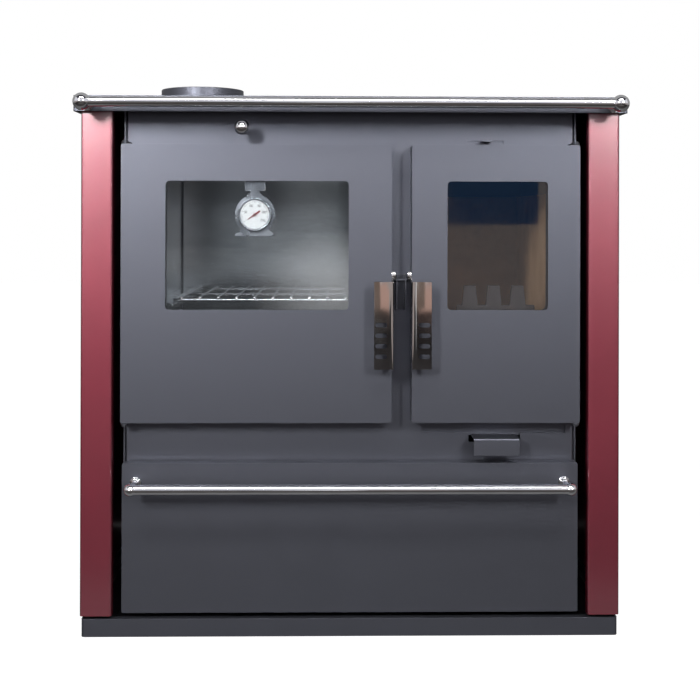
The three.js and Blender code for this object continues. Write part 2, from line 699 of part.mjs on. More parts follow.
// ---------------------------------------------------------------- smoke damper
function makeDamper() {
  const top = KNOB_Z - DAMPER_ROD_R - FIT;         // the rod clears the guide plate
  const base = [top - PLATE, top];
  const opening = bar('z', FLUE_BORE_R, [base[0] - 1, top + 1], [FLUE_X, FLUE_Y], ROUND);
  const rails = [
    [DAMPER_GUIDE_X[0], DAMPER_GUIDE_X[0] + DAMPER_RAIL],
    [DAMPER_GUIDE_X[1] - DAMPER_RAIL, DAMPER_GUIDE_X[1]],
  ].map((x) => block(x, [DAMPER_GUIDE_Y, BEFORE_BACK], [top - 1, top + DAMPER_RAIL_H]));
  const guide = block(DAMPER_GUIDE_X, [DAMPER_GUIDE_Y, BEFORE_BACK], base);
  place('damper_guide', join(cut(guide, opening), ...rails), darkSteel);

  const plateX = grown(DAMPER_GUIDE_X, -DAMPER_RAIL - SLIP);
  const plate = block(plateX, DAMPER_PLATE_Y, [top + FIT, top + FIT + PLATE]);
  const knobBack = KNOB_Y + KNOB_R;
  const bore = [KNOB_Y + 4, knobBack + 8];
  const rod = bar('y', DAMPER_ROD_R, [bore[0] + FIT, DAMPER_PLATE_Y[0] + 12], [KNOB_X, KNOB_Z]);
  place('damper_plate', join(plate, rod), darkSteel);

  const collar = bar('y', DAMPER_ROD_R + 2.5, [KNOB_Y + 8, knobBack + 6], [KNOB_X, KNOB_Z]);
  const hole = bar('y', DAMPER_ROD_R + FIT, bore, [KNOB_X, KNOB_Z]);
  place('damper_knob', cut(join(ball(KNOB_R, KNOB_X, KNOB_Y, KNOB_Z, 20), collar), hole), chrome);
}

// ---------------------------------------------------------------- oven
function makeOven() {
  const shell = block(grown(OVEN_X, SHEET), [BEHIND_FRONT, OVEN_BACK_Y + SHEET],
    grown(OVEN_Z, SHEET));
  place('oven_box', cut(shell, block(OVEN_X, [0, OVEN_BACK_Y], OVEN_Z)), ovenSteel);

  const middle = RUNNER_TOP_Z - SHEET / 2;
  const wallX = { left: OVEN_X[0] + FIT, right: OVEN_X[1] - FIT };
  for (const side of ['left', 'right']) {
    const inward = -SIDES[side];
    const section = bentSheet([
      [wallX[side] + inward * SHEET / 2, middle - RUNNER_LEG],
      [wallX[side] + inward * SHEET / 2, middle],
      [wallX[side] + inward * (RUNNER_W - SHEET / 2), middle],
      [wallX[side] + inward * (RUNNER_W - SHEET / 2), middle - RUNNER_LIP],
    ], SHEET);
    place(`rack_runner_${side}`, prism('y', section, RUNNER_Y), ovenSteel);
  }

  const centre = (OVEN_X[0] + OVEN_X[1]) / 2;
  const frameZ = RUNNER_TOP_Z + FIT + RACK_FRAME_R;
  const wireZ = frameZ + RACK_FRAME_R + RACK_WIRE_R - 0.6;
  const across = grown(OVEN_X, -RACK_SIDE_GAP);
  const pitch = (across[1] - across[0] - 2 * RACK_EDGE) / (RACK_WIRES - 1);
  const crossYs = [RACK_Y[0], (RACK_Y[0] + RACK_Y[1]) / 2, RACK_Y[1]];
  const pieces = [
    ...across.map((x) => bar('y', RACK_FRAME_R, RACK_Y, [x, frameZ], 8)),
    ...crossYs.map((y) => bar('x', RACK_FRAME_R, across, [y, frameZ], 8)),
    ...across.flatMap((x) => RACK_Y.map((y) => ball(RACK_FRAME_R + 0.05, x, y, frameZ, 8))),
    ...Array.from({ length: RACK_WIRES }, (_, i) => {
      const x = centre + (i - (RACK_WIRES - 1) / 2) * pitch;
      return bar('y', RACK_WIRE_R, grown(RACK_Y, 2), [x, wireZ], 6);
    }),
  ];
  place('oven_rack', join(...pieces), chrome);
}

// ---------------------------------------------------------------- firebox
function makeFirebox() {
  const floorZ = [FIRE_FLOOR_Z - FIRE_FLOOR_T, FIRE_FLOOR_Z];
  const left = DIVIDER_RIGHT + FIT;
  const seat = FIRE_FLOOR_Z + FIT;
  const floor = block([left, BEHIND_RETURNS], [BEHIND_FRONT, BRICK_Y[1] + BRICK_T + FIT], floorZ);
  const fall = block(grown(GRATE_X, -GRATE_RIM), grown(GRATE_Y, -GRATE_RIM), grown(floorZ, 1));
  place('firebox_floor', cut(floor, fall), castIron);

  const brickZ = [seat, BRICK_TOP_Z];
  place('brick_left', block([left, left + BRICK_T], BRICK_Y, brickZ), fireclay);
  place('brick_right', block([FRONT_HALF_W - BRICK_T, FRONT_HALF_W], BRICK_Y, brickZ), fireclay);
  const backY = BRICK_Y[1] + FIT;
  place('brick_back', block([left, FRONT_HALF_W], [backY, backY + BRICK_T], brickZ), fireclay);

  // grate: two rows of slots between cast bars
  const slotLength = (GRATE_Y[1] - GRATE_Y[0] - 3 * GRATE_RIM) / 2;
  const pitch = (GRATE_X[1] - GRATE_X[0] - 2 * GRATE_RIM) / GRATE_SLOTS;
  const slots = [];
  for (let row = 0; row < 2; row += 1) {
    const y = GRATE_Y[0] + GRATE_RIM + row * (slotLength + GRATE_RIM);
    for (let i = 0; i < GRATE_SLOTS; i += 1) {
      const x = GRATE_X[0] + GRATE_RIM + (i + 0.5) * pitch;
      const outline = roundedRect(spread(x, GRATE_SLOT_W), [y, y + slotLength],
        GRATE_SLOT_W / 2 - 0.5);
      slots.push(prism('z', outline, [seat - 1, seat + GRATE_T + 1], 1));
    }
  }
  place('grate', cut(block(GRATE_X, GRATE_Y, [seat, seat + GRATE_T]), ...slots), castIron);

  // log guard: a cast plate with a row of blunt teeth
  const outline = [[GUARD_X[0], seat], [GUARD_X[0], GUARD_VALLEY_Z]];
  for (let i = 0; i < GUARD_TEETH; i += 1) {
    const x = GUARD_MIDDLE + (i - (GUARD_TEETH - 1) / 2) * GUARD_PITCH;
    outline.push([x - GUARD_ROOT_W / 2, GUARD_VALLEY_Z], [x - GUARD_TIP_W / 2, GUARD_TIP_Z]);
    outline.push([x + GUARD_TIP_W / 2, GUARD_TIP_Z], [x + GUARD_ROOT_W / 2, GUARD_VALLEY_Z]);
  }
  outline.push([GUARD_X[1], GUARD_VALLEY_Z], [GUARD_X[1], seat]);
  place('log_guard', prism('y', polygon(outline), GUARD_Y), castIron);
}

function makeAshCompartment() {
  const left = DIVIDER_RIGHT + FIT;
  const shelf = block([left, BEHIND_RETURNS], [BEHIND_FRONT, ASH_SHELF_END_Y],
    [ASH_SHELF_Z - PLATE, ASH_SHELF_Z]);
  place('ash_shelf', shelf, darkSteel);

  const bottom = ASH_SHELF_Z + FIT;
  const tray = cut(
    block(ASH_PAN_X, ASH_PAN_Y, [bottom, bottom + ASH_PAN_H]),
    block(grown(ASH_PAN_X, -ASH_PAN_T), grown(ASH_PAN_Y, -ASH_PAN_T),
      [bottom + ASH_PAN_T, bottom + ASH_PAN_H + 1]),
  );
  const middle = (ASH_PAN_X[0] + ASH_PAN_X[1]) / 2;
  const lipZ = bottom + ASH_LIP_RISE;
  const lip = prism('x', bentSheet([
    [ASH_PAN_Y[0] + 1, lipZ], [ASH_PAN_Y[0] - ASH_LIP_REACH, lipZ],
    [ASH_PAN_Y[0] - ASH_LIP_REACH, lipZ - ASH_LIP_DROP],
  ], ASH_PAN_T), spread(middle, ASH_LIP_W));
  place('ash_pan', join(tray, lip), zinc);
}

// ---------------------------------------------------------------- air slides
// bent sheet: a tab that hangs in front, a flat tongue through the notch, a gate behind the slot
function makePrimaryAir() {
  const tongueZ = AIR_TAB_TOP_Z - SHEET / 2;
  const tab = prism('x', bentSheet([
    [AIR_TAB_FACE_Y + SHEET / 2, AIR_TAB_TOP_Z - AIR_TAB_DROP],
    [AIR_TAB_FACE_Y + SHEET / 2, tongueZ],
    [AIR_TAB_TAIL_Y, tongueZ],
  ], SHEET, 2), AIR_TAB_X);
  const gate = block(grown(AIR_SLOT_X, AIR_GATE_LAP), [BEHIND_FRONT, BEHIND_FRONT + SHEET],
    [AIR_TAB_TOP_Z - SHEET, AIR_SLOT_Z[1] + AIR_GATE_LAP]);
  place('primary_air_slide', join(tab, gate), anthracite);
}

function makeSecondaryAir() {
  const tabZ = (SECOND_SLOT_Z[0] + SECOND_SLOT_Z[1]) / 2;
  const plate = block(spread(SECOND_MIDDLE, SECOND_PLATE_W),
    [BEHIND_FRONT, BEHIND_FRONT + SHEET], grown(SECOND_SLOT_Z, SECOND_PLATE_LAP));
  const tab = block(spread(SECOND_MIDDLE, SECOND_TAB_W), [SECOND_TAB_Y, BEHIND_FRONT + 1],
    spread(tabZ, SHEET));
  place('secondary_air_slide', join(plate, tab), anthracite);
}

// ---------------------------------------------------------------- catch and hinges
function makeCatch() {
  const across = spread(CATCH_X, CATCH_W);
  const seat = FRONT_RECESS - FIT;
  const channel = cut(
    block(across, [seat - CATCH_DEPTH, seat], CATCH_Z),
    block(grown(across, -SHEET), [seat - CATCH_DEPTH - 1, seat - SHEET], grown(CATCH_Z, 1)),
  );
  const keeper = bar('x', KEEPER_R, spread(CATCH_X, KEEPER_L), [KEEPER_Y, KEEPER_Z]);
  place('catch_bracket', join(channel, keeper), darkSteel);
}

// a lug on the front panel with the pin that reaches into the door's bent edge
function makeHinge(name, doorX, side) {
  const pinX = side < 0 ? doorX[0] + PIN_INSET : doorX[1] - PIN_INSET;
  const pinY = DOOR_FACE_Y + PIN_INSET;
  for (const [end, edgeZ, up] of [['top', DOOR_TOP_Z, 1], ['bottom', DOOR_BOTTOM_Z, -1]]) {
    const lugEnd = edgeZ + up * (SLIP + PLATE);
    const lugZ = ordered(edgeZ + up * SLIP, lugEnd);
    const pinZ = ordered(edgeZ - up * PIN_REACH, lugEnd);
    const headZ = ordered(lugEnd - up, lugEnd + up * PIN_HEAD_H);
    const arm = block(spread(pinX, 2 * LUG_R), [pinY, FRONT_RECESS - FIT], lugZ);
    const lug = join(
      arm,
      bar('z', LUG_R, lugZ, [pinX, pinY], 20),
      bar('z', PIN_R, pinZ, [pinX, pinY], 16),
      bar('z', PIN_HEAD_R, headZ, [pinX, pinY], 20),
    );
    place(`${name}_hinge_${end}`, lug, darkSteel);
  }
}

// ---------------------------------------------------------------- doors
// a shallow pan of bent sheet with a window; its back edge stops short of the front panel
function makeDoorSkin(name, doorX, windowX, hingeSide) {
  const doorZ = [DOOR_BOTTOM_Z, DOOR_TOP_Z];
  const faceY = DOOR_FACE_Y;
  const pinX = hingeSide < 0 ? doorX[0] + PIN_INSET : doorX[1] - PIN_INSET;
  const room = roundedRect(grown(doorX, -SHEET), grown(doorZ, -SHEET), DOOR_CORNER - SHEET);
  const skin = cut(
    prism('y', roundedRect(doorX, doorZ, DOOR_CORNER), [faceY, DOOR_BACK_Y]),
    prism('y', room, [faceY + SHEET, DOOR_BACK_Y + 1]),
    prism('y', roundedRect(windowX, WINDOW_Z, WINDOW_CORNER), [faceY - 1, faceY + SHEET + 1]),
    bar('z', PIN_R + FIT, grown(doorZ, 1), [pinX, faceY + PIN_INSET], 16),
  );
  place(`${name}_skin`, skin, anthracite);
}

// the inner sheet closes the pan's back, and its rim reaches forward round the window
function makeDoorLiner(name, doorX, windowX) {
  const doorZ = [DOOR_BOTTOM_Z, DOOR_TOP_Z];
  const reach = -SHEET - FIT;
  const rimX = grown(windowX, GLASS_RIM);
  const rimZ = grown(WINDOW_Z, GLASS_RIM);
  const rimY = [GLASS_Y + GLASS_T + FIT, LINER_Y[1]];
  const sheet = block(grown(doorX, reach), LINER_Y, grown(doorZ, reach));
  const corner = WINDOW_CORNER + GLASS_RIM;
  const rim = prism('y', roundedRect(grown(rimX, SHEET), grown(rimZ, SHEET), corner + SHEET), rimY);
  const view = prism('y', roundedRect(rimX, rimZ, corner), grown(rimY, 2));
  place(`${name}_liner`, cut(join(sheet, rim), view), darkSteel);
}

function makeDoorGlass(name, windowX) {
  const pane = prism('y', roundedRect(grown(windowX, GLASS_LAP), grown(WINDOW_Z, GLASS_LAP), 2),
    [GLASS_Y, GLASS_Y + GLASS_T]);
  place(`${name}_glass`, pane, glassPane);
}

function makeDoorGasket(name, doorX) {
  const outX = grown(doorX, -GASKET_INSET - SHEET);
  const outZ = grown([DOOR_BOTTOM_Z, DOOR_TOP_Z], -GASKET_INSET);
  const seal = [LINER_Y[1] + FIT, FRONT_RECESS - FIT];
  const ring = cut(
    prism('y', roundedRect(outX, outZ, GASKET_CORNER), seal),
    prism('y', roundedRect(grown(outX, -GASKET_W), grown(outZ, -GASKET_W), GASKET_CORNER - 7),
      grown(seal, 1)),
  );
  place(`${name}_gasket`, ring, rope);
}

// a flat polished lever: slotted grip in front, side tab with the pivot boss and the latch hook
function makeHandle(name, doorEdgeX, side) {
  const tabX = [doorEdgeX + side * FIT, doorEdgeX + side * (FIT + HANDLE_T)];
  const gripY = [DOOR_FACE_Y - GRIP_STAND - HANDLE_T, DOOR_FACE_Y - GRIP_STAND];
  const edgeX = tabX[1] - side * (GRIP_W + HANDLE_T);
  const gripZ = [GRIP_TOP_Z - GRIP_H, GRIP_TOP_Z];
  const middleY = (gripY[0] + gripY[1]) / 2;
  const middleX = (tabX[0] + tabX[1]) / 2;
  const section = bentSheet([
    [edgeX, middleY], [middleX, middleY], [middleX, middleY + GRIP_LIP],
  ], HANDLE_T, GRIP_BEND);
  const softened = prism('y', roundedRect(ordered(edgeX, tabX[1]), gripZ, 2),
    [gripY[0] - 1, middleY + GRIP_LIP + 1]);
  const grip = prism('z', section, gripZ).intersect(softened);
  const tabFrontY = middleY + GRIP_BEND;
  const tab = prism('x', polygon([
    [tabFrontY, TAB_BOTTOM_Z], [PIVOT_Y - 10, TAB_BOTTOM_Z],
    [PIVOT_Y - 4, KEEPER_Z - 13], [KEEPER_Y + 7.5, KEEPER_Z - 13],
    [KEEPER_Y + 7.5, KEEPER_Z + 1.5], [KEEPER_Y + 4, KEEPER_Z + 1.5],
    [KEEPER_Y + 3.6, KEEPER_Z - 5], [PIVOT_Y + 7.5, KEEPER_Z - 5],
    [PIVOT_Y + 7.5, PIVOT_Z], [PIVOT_Y - 7.5, PIVOT_Z],
    [PIVOT_Y - 2 * PIVOT_HEAD_R + 1, GRIP_TOP_Z - 1], [tabFrontY, GRIP_TOP_Z - 1],
  ]), ordered(...tabX));
  const head = bar('x', PIVOT_HEAD_R, ordered(...tabX), [PIVOT_Y, PIVOT_Z], 20);
  const boss = bar('x', BOSS_R, ordered(tabX[1] - side, tabX[1] + side * BOSS_H),
    [PIVOT_Y, PIVOT_Z], 20);
  const slotX = edgeX + side * GRIP_SLOT_INSET;
  const slots = Array.from({ length: GRIP_SLOTS }, (_, i) => {
    const z = GRIP_SLOT_FIRST_Z + i * GRIP_SLOT_PITCH;
    const outline = roundedRect(spread(slotX, GRIP_SLOT[0]), spread(z, GRIP_SLOT[1]),
      GRIP_SLOT[1] / 2 - 0.2);
    return prism('y', outline, grown(gripY, 1));
  });
  place(name, join(cut(grip, ...slots), tab, head, boss), chrome);
}

function makeDoors() {
  const doors = [
    ['oven_door', OVEN_DOOR_X, OVEN_WINDOW_X, -1],
    ['firebox_door', FIRE_DOOR_X, FIRE_WINDOW_X, 1],
  ];
  for (const [name, doorX, windowX, hingeSide] of doors) {
    makeDoorSkin(name, doorX, windowX, hingeSide);
    makeDoorLiner(name, doorX, windowX);
    makeDoorGlass(name, windowX);
    makeDoorGasket(name, doorX);
    const freeEdge = hingeSide < 0 ? doorX[1] : doorX[0];
    makeHandle(`${name}_handle`, freeEdge, -hingeSide);
    makeHinge(name, doorX, hingeSide);
  }
}

// ---------------------------------------------------------------- thermometer
// it hangs on the rim of the oven window: a holder of thin sheet, a round case and a needle
function makeThermometer() {
  const holderY = [HOLDER_Y, HOLDER_Y + HOLDER_T];
  const tabTop = WINDOW_Z[1] + GLASS_RIM - FIT;
  const neckTop = tabTop - HOLDER_TAB_H + 1;
  const [neckLeft, neckRight] = spread(DIAL_X, HOLDER_NECK_W);
  const [flareLeft, flareRight] = spread(DIAL_X, HOLDER_FLARE[0]);
  const flareZ = DIAL_Z + HOLDER_FLARE[1];
  const neck = [
    [neckLeft, neckTop], [neckLeft, neckTop - 4], [flareLeft, flareZ], [flareLeft, DIAL_Z],
    [flareRight, DIAL_Z], [flareRight, flareZ], [neckRight, neckTop - 4], [neckRight, neckTop],
  ];
  const [footLeft, footRight] = spread(DIAL_X, HOLDER_FOOT_W[0]);
  const [toeLeft, toeRight] = spread(DIAL_X, HOLDER_FOOT_W[1]);
  const [soleZ, toeZ, footZ] = HOLDER_FOOT_DROP.map((drop) => DIAL_Z - drop);
  const foot = [
    [footLeft, footZ], [toeLeft, toeZ], [toeLeft, soleZ],
    [toeRight, soleZ], [toeRight, toeZ], [footRight, footZ],
  ];
  const holder = join(
    bar('y', HOLDER_R, holderY, [DIAL_X, DIAL_Z], ROUND),
    prism('y', polygon(neck), holderY),
    block(spread(DIAL_X, HOLDER_TAB_W), holderY, [tabTop - HOLDER_TAB_H, tabTop]),
    prism('y', polygon(foot), holderY),
  );
  place('thermometer_holder', holder, chrome);

  const back = HOLDER_Y - FIT;
  const face = back - CASE_T;
  const body = cut(
    bar('y', CASE_R, [face, back], [DIAL_X, DIAL_Z], ROUND),
    bar('y', DIAL_R, [face - 1, face + DIAL_DEPTH], [DIAL_X, DIAL_Z], ROUND),
  );
  const spindle = bar('y', SPINDLE_R, [face + 0.4, face + DIAL_DEPTH + 0.5], [DIAL_X, DIAL_Z],
    SPINDLE_FACETS);
  place('thermometer_case', join(body, spindle), chrome);

  const needleY = [face + 0.8, face + 0.8 + NEEDLE_T];
  const pointer = polygon([
    [-NEEDLE_TAIL, -1.4], [-NEEDLE_TAIL, 1.4], [-2, 1], [NEEDLE_L, 0.45], [NEEDLE_L, -0.45], [-2, -1],
  ]);
  const shape = cut(
    join(prism('y', pointer, needleY), bar('y', NEEDLE_HUB_R, needleY, [0, 0], 16)),
    bar('y', SPINDLE_R + FIT, grown(needleY, 1), [0, 0], SPINDLE_FACETS),
  );
  const needle = place('thermometer_needle', shape, needleRed);
  needle.position.set(DIAL_X, 0, DIAL_Z);
  needle.rotation.y = NEEDLE_ANGLE;
}

// ---------------------------------------------------------------- storage drawer
function makeDrawer() {
  const across = [-DRAWER_HALF_W, DRAWER_HALF_W];
  const front = cut(
    prism('y', roundedRect(across, DRAWER_Z, DOOR_CORNER),
      [DRAWER_FACE_Y, DRAWER_FACE_Y + DRAWER_RETURN]),
    block(grown(across, -SHEET), [DRAWER_FACE_Y + SHEET, DRAWER_FACE_Y + DRAWER_RETURN + 1],
      grown(DRAWER_Z, -SHEET)),
  );
  place('drawer_front', front, anthracite);

  const boxX = [-DRAWER_BOX_HALF_W, DRAWER_BOX_HALF_W];
  const boxY = [DRAWER_FACE_Y + SHEET + FIT, DRAWER_BOX_END_Y];
  const tray = cut(
    block(boxX, boxY, DRAWER_BOX_Z),
    block(grown(boxX, -SHEET), grown(boxY, -SHEET), [DRAWER_BOX_Z[0] + SHEET, DRAWER_BOX_Z[1] + 1]),
  );
  const slides = [
    [-DRAWER_BOX_HALF_W - SLIDE_W, -DRAWER_BOX_HALF_W + 1],
    [DRAWER_BOX_HALF_W - 1, DRAWER_BOX_HALF_W + SLIDE_W],
  ].map((x) => block(x, SLIDE_Y, SLIDE_Z));
  place('drawer_box', join(tray, ...slides), zinc);

  const slotZ = [SLIDE_Z[0] - FIT, SLIDE_Z[1] + SLIP];
  for (const side of ['left', 'right']) {
    const outerX = SIDES[side] * FRONT_HALF_W;
    const innerX = SIDES[side] * (DRAWER_BOX_HALF_W + RUNNER_GAP);
    const bottomX = SIDES[side] * (DRAWER_BOX_HALF_W + SLIDE_W + SLIP);
    const runner = cut(
      block(ordered(outerX, innerX), [SLIDE_Y[0] + 5, DRAWER_BOX_END_Y], grown(slotZ, RUNNER_WALL)),
      block(ordered(innerX - SIDES[side], bottomX), [SLIDE_Y[0], DRAWER_BOX_END_Y + 1], slotZ),
    );
    place(`drawer_runner_${side}`, runner, zinc);
  }
}

// ---------------------------------------------------------------- assembly
makePlinth();
for (const side of ['left', 'right']) {
  makeSidePanel(side);
  makeCarcassWall(side);
}
makeShelves();
makeFrontPanel();
makeBackPanel();
makeTopFrame();
makeHob();
makeFlueCollar();
makeRail('top_rail', TOP_RAIL_HALF_L, TOP_RAIL_Z, SKIRT_Y, TOP_RAIL_STAND,
  TOP_BALL_R, TOP_POST_R, TOP_POST_FOOT_R);
makeDamper();
makeOven();
makeFirebox();
makeAshCompartment();
makePrimaryAir();
makeSecondaryAir();
makeCatch();
makeDoors();
makeThermometer();
makeDrawer();
makeRail('drawer_rail', DRAWER_RAIL_HALF_L, DRAWER_RAIL_Z, DRAWER_FACE_Y, DRAWER_RAIL_STAND,
  DRAWER_BALL_R, DRAWER_POST_R, DRAWER_POST_FOOT_R);

export default cookstove;
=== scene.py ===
import json
import math

import bmesh
import bpy
from mathutils import Matrix, Vector


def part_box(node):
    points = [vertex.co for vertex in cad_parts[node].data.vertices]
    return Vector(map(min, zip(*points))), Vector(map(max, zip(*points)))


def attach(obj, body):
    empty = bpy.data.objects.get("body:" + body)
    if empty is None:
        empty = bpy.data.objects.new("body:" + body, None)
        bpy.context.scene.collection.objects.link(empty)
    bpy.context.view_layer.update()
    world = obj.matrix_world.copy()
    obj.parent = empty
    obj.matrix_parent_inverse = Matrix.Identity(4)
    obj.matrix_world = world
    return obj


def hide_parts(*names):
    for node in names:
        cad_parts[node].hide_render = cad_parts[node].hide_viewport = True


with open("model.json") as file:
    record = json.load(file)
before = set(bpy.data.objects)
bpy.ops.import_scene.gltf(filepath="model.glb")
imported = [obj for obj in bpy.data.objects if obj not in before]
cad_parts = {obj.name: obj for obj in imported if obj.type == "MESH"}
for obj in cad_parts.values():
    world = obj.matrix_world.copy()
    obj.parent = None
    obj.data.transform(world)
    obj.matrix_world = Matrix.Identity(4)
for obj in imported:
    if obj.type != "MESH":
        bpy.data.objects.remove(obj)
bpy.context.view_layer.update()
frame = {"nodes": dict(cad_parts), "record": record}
NODES = frame["nodes"]
BODY_OF = {node: body
           for body, nodes in frame["record"]["behaviour"]["bodies"].items()
           for node in nodes}
SLOT_OF = {part["node"]: part["material_slot"] for part in frame["record"]["subparts"]}
MM = 0.001
RIGHT, BACK, UP = Vector((1, 0, 0)), Vector((0, 1, 0)), Vector((0, 0, 1))


# ---------------------------------------------------------------- camera
CAMERA_AT = Vector((-0.0370, -2.1567, 0.6625))
CAMERA_YAW = -0.0187          # radians; turned a little to the right
CAMERA_PITCH = 0.0032
CAMERA_ROLL = 0.0025
CAMERA_LENS = 61.08           # mm
SENSOR_WIDTH = 36             # mm
HORIZON_SHIFT = -0.1972       # the picture's frame hangs below the horizon
VIEW_DEPTH = 50


def make_camera():
    """A nearly level camera whose shifted lens keeps upright lines upright."""
    forward = Vector((-math.sin(CAMERA_YAW) * math.cos(CAMERA_PITCH),
                      math.cos(CAMERA_YAW) * math.cos(CAMERA_PITCH),
                      math.sin(CAMERA_PITCH)))
    level = forward.cross(UP).normalized()
    upright = level.cross(forward)
    right = level * math.cos(CAMERA_ROLL) + upright * math.sin(CAMERA_ROLL)
    up = right.cross(forward)
    turn = Matrix((right, up, -forward)).transposed()
    data = bpy.data.cameras.new("camera")
    data.lens = CAMERA_LENS
    data.sensor_width = SENSOR_WIDTH
    data.shift_y = HORIZON_SHIFT
    data.clip_end = VIEW_DEPTH
    camera = bpy.data.objects.new("camera", data)
    camera.matrix_world = Matrix.Translation(CAMERA_AT) @ turn.to_4x4()
    bpy.context.scene.collection.objects.link(camera)
    bpy.context.scene.camera = camera


# ---------------------------------------------------------------- node helpers
WHITE = (1, 1, 1)
MIX_FIRST, MIX_SECOND, MIX_RESULT = 6, 7, 2    # a Mix node's sockets for colours


class Shader:
    """A material with its Principled shader and short ways to add nodes."""

    def __init__(self, name):
        self.mat = bpy.data.materials.new(name)
        self.mat.use_nodes = True
        self.tree = self.mat.node_tree
        self.main = self.tree.nodes["Principled BSDF"]
        self.output = self.tree.nodes["Material Output"]
        self.coords = self.tree.nodes.new("ShaderNodeTexCoord")

    def link(self, source, target):
        self.tree.links.new(source, target)

    def add(self, kind, links=(), **settings):
        node = self.tree.nodes.new(kind)
        for key, value in settings.items():
            setattr(node, key, value)
        for socket, source in links:
            self.link(source, node.inputs[socket])
        return node

    def put(self, **values):
        """Writes plain values into the Principled shader."""
        for key, value in values.items():
            self.main.inputs[key.replace("_", " ")].default_value = value

    def drive(self, **sources):
        """Links node outputs into the Principled shader."""
        for key, source in sources.items():
            self.link(source, self.main.inputs[key.replace("_", " ")])

    def stretched(self, scale):
        node = self.add("ShaderNodeMapping", [("Vector", self.coords.outputs["Object"])])
        node.inputs["Scale"].default_value = scale
        return node.outputs["Vector"]

    def noise(self, scale, detail=3, rough=0.55, stretch=(1, 1, 1)):
        node = self.add("ShaderNodeTexNoise", [("Vector", self.stretched(stretch))])
        node.inputs["Scale"].default_value = scale
        node.inputs["Detail"].default_value = detail
        node.inputs["Roughness"].default_value = rough
        return node.outputs["Fac"]

    def ramp(self, source, stops):
        node = self.add("ShaderNodeValToRGB", [("Fac", source)])
        ramp = node.color_ramp
        while len(ramp.elements) < len(stops):
            ramp.elements.new(0.5)
        for element, (at, colour) in zip(ramp.elements, stops):
            element.position = at
            element.color = (*colour, 1.0)
        return node.outputs["Color"]

    def tinted(self, source, colour, low, high, start=0.3, end=0.7):
        """The colour, varied by the source between two shares of itself."""
        return self.ramp(source, [(start, scaled(colour, low)), (end, scaled(colour, high))])

    def spread(self, source, low, high, start=0.3, end=0.7):
        node = self.add("ShaderNodeMapRange", [("Value", source)])
        node.inputs["From Min"].default_value = start
        node.inputs["From Max"].default_value = end
        node.inputs["To Min"].default_value = low
        node.inputs["To Max"].default_value = high
        return node.outputs["Result"]

    def mix(self, factor, first, second, blend_type="MIX"):
        """Mixes two colours; each input is a node's output or a plain value."""
        node = self.add("ShaderNodeMix", data_type="RGBA", blend_type=blend_type)
        for socket, value in (("Factor", factor), (MIX_FIRST, first), (MIX_SECOND, second)):
            if isinstance(value, bpy.types.NodeSocket):
                self.link(value, node.inputs[socket])
            else:
                node.inputs[socket].default_value = value
        return node.outputs[MIX_RESULT]

    def bump(self, source, strength, distance):
        node = self.add("ShaderNodeBump", [("Height", source)])
        node.inputs["Strength"].default_value = strength
        node.inputs["Distance"].default_value = distance
        return node.outputs["Normal"]


def scaled(colour, factor):
    return tuple(channel * factor for channel in colour)


# ---------------------------------------------------------------- materials
def powder_coat(name, colour, roughness, metallic=0.0, ior=1.5, coat=0.0):
    """Baked stove paint: fine orange peel, faint clouding, a cool sheen."""
    s = Shader(name)
    peel = s.noise(scale=1400, detail=2, rough=0.6)
    s.drive(Base_Color=s.tinted(s.noise(scale=9, detail=4), colour, 0.95, 1.05),
            Roughness=s.spread(s.noise(scale=35, detail=4), roughness - 0.015, roughness + 0.015),
            Normal=s.bump(peel, strength=0.10, distance=0.2 * MM))
    s.put(Metallic=metallic, Specular_IOR_Level=1.0, IOR=ior, Specular_Tint=(*SHEEN, 1),
          Coat_Weight=coat, Coat_Roughness=0.25, Coat_IOR=2.5)
    return s.mat


def polished(name, colour, roughness, brush=0.0):
    """Chrome plate: near mirror with faint smears and, if asked, a fine brush line."""
    s = Shader(name)
    smear = s.noise(scale=28)
    s.drive(Base_Color=s.tinted(smear, colour, 0.93, 1),
            Roughness=s.spread(smear, roughness * 0.8, roughness * 1.5))
    s.put(Metallic=1.0)
    if brush:
        line = s.noise(scale=60, detail=2, rough=0.5, stretch=(3, 40, 40))
        s.drive(Normal=s.bump(line, strength=brush, distance=0.1 * MM))
    return s.mat


def brushed(name, colour, roughness, depth, stretch=(1, 1, 60)):
    """Rolled or brushed sheet: long fine lines and clouded reflections."""
    s = Shader(name)
    lines = s.noise(scale=30, detail=4, rough=0.6, stretch=stretch)
    clouds = s.noise(scale=6, detail=4, rough=0.6)
    lined = s.tinted(lines, colour, 0.82, 1.12, start=0.25, end=0.75)
    clouded = s.tinted(clouds, WHITE, 0.86, 1)
    s.drive(Base_Color=s.mix(1.0, lined, clouded, "MULTIPLY"),
            Roughness=s.spread(clouds, roughness * 0.85, roughness * 1.2),
            Normal=s.bump(lines, strength=depth, distance=0.2 * MM))
    s.put(Metallic=1.0)
    return s.mat


def cast(name, colour, roughness):
    """Blackened iron: sand-cast grain and a faint rusty bloom in patches."""
    s = Shader(name)
    red, green, blue = colour
    rust = (red * 1.7 + 0.01, green * 1.15, blue * 0.8)
    clouds = s.noise(scale=14, detail=5)
    grain = s.noise(scale=420, detail=4, rough=0.65)
    s.drive(Base_Color=s.ramp(clouds, [(0.35, colour), (0.6, scaled(colour, 1.25)), (0.8, rust)]),
            Roughness=s.spread(clouds, roughness - 0.08, roughness + 0.08),
            Normal=s.bump(grain, strength=0.35, distance=0.6 * MM))
    s.put(Metallic=0.35)
    return s.mat


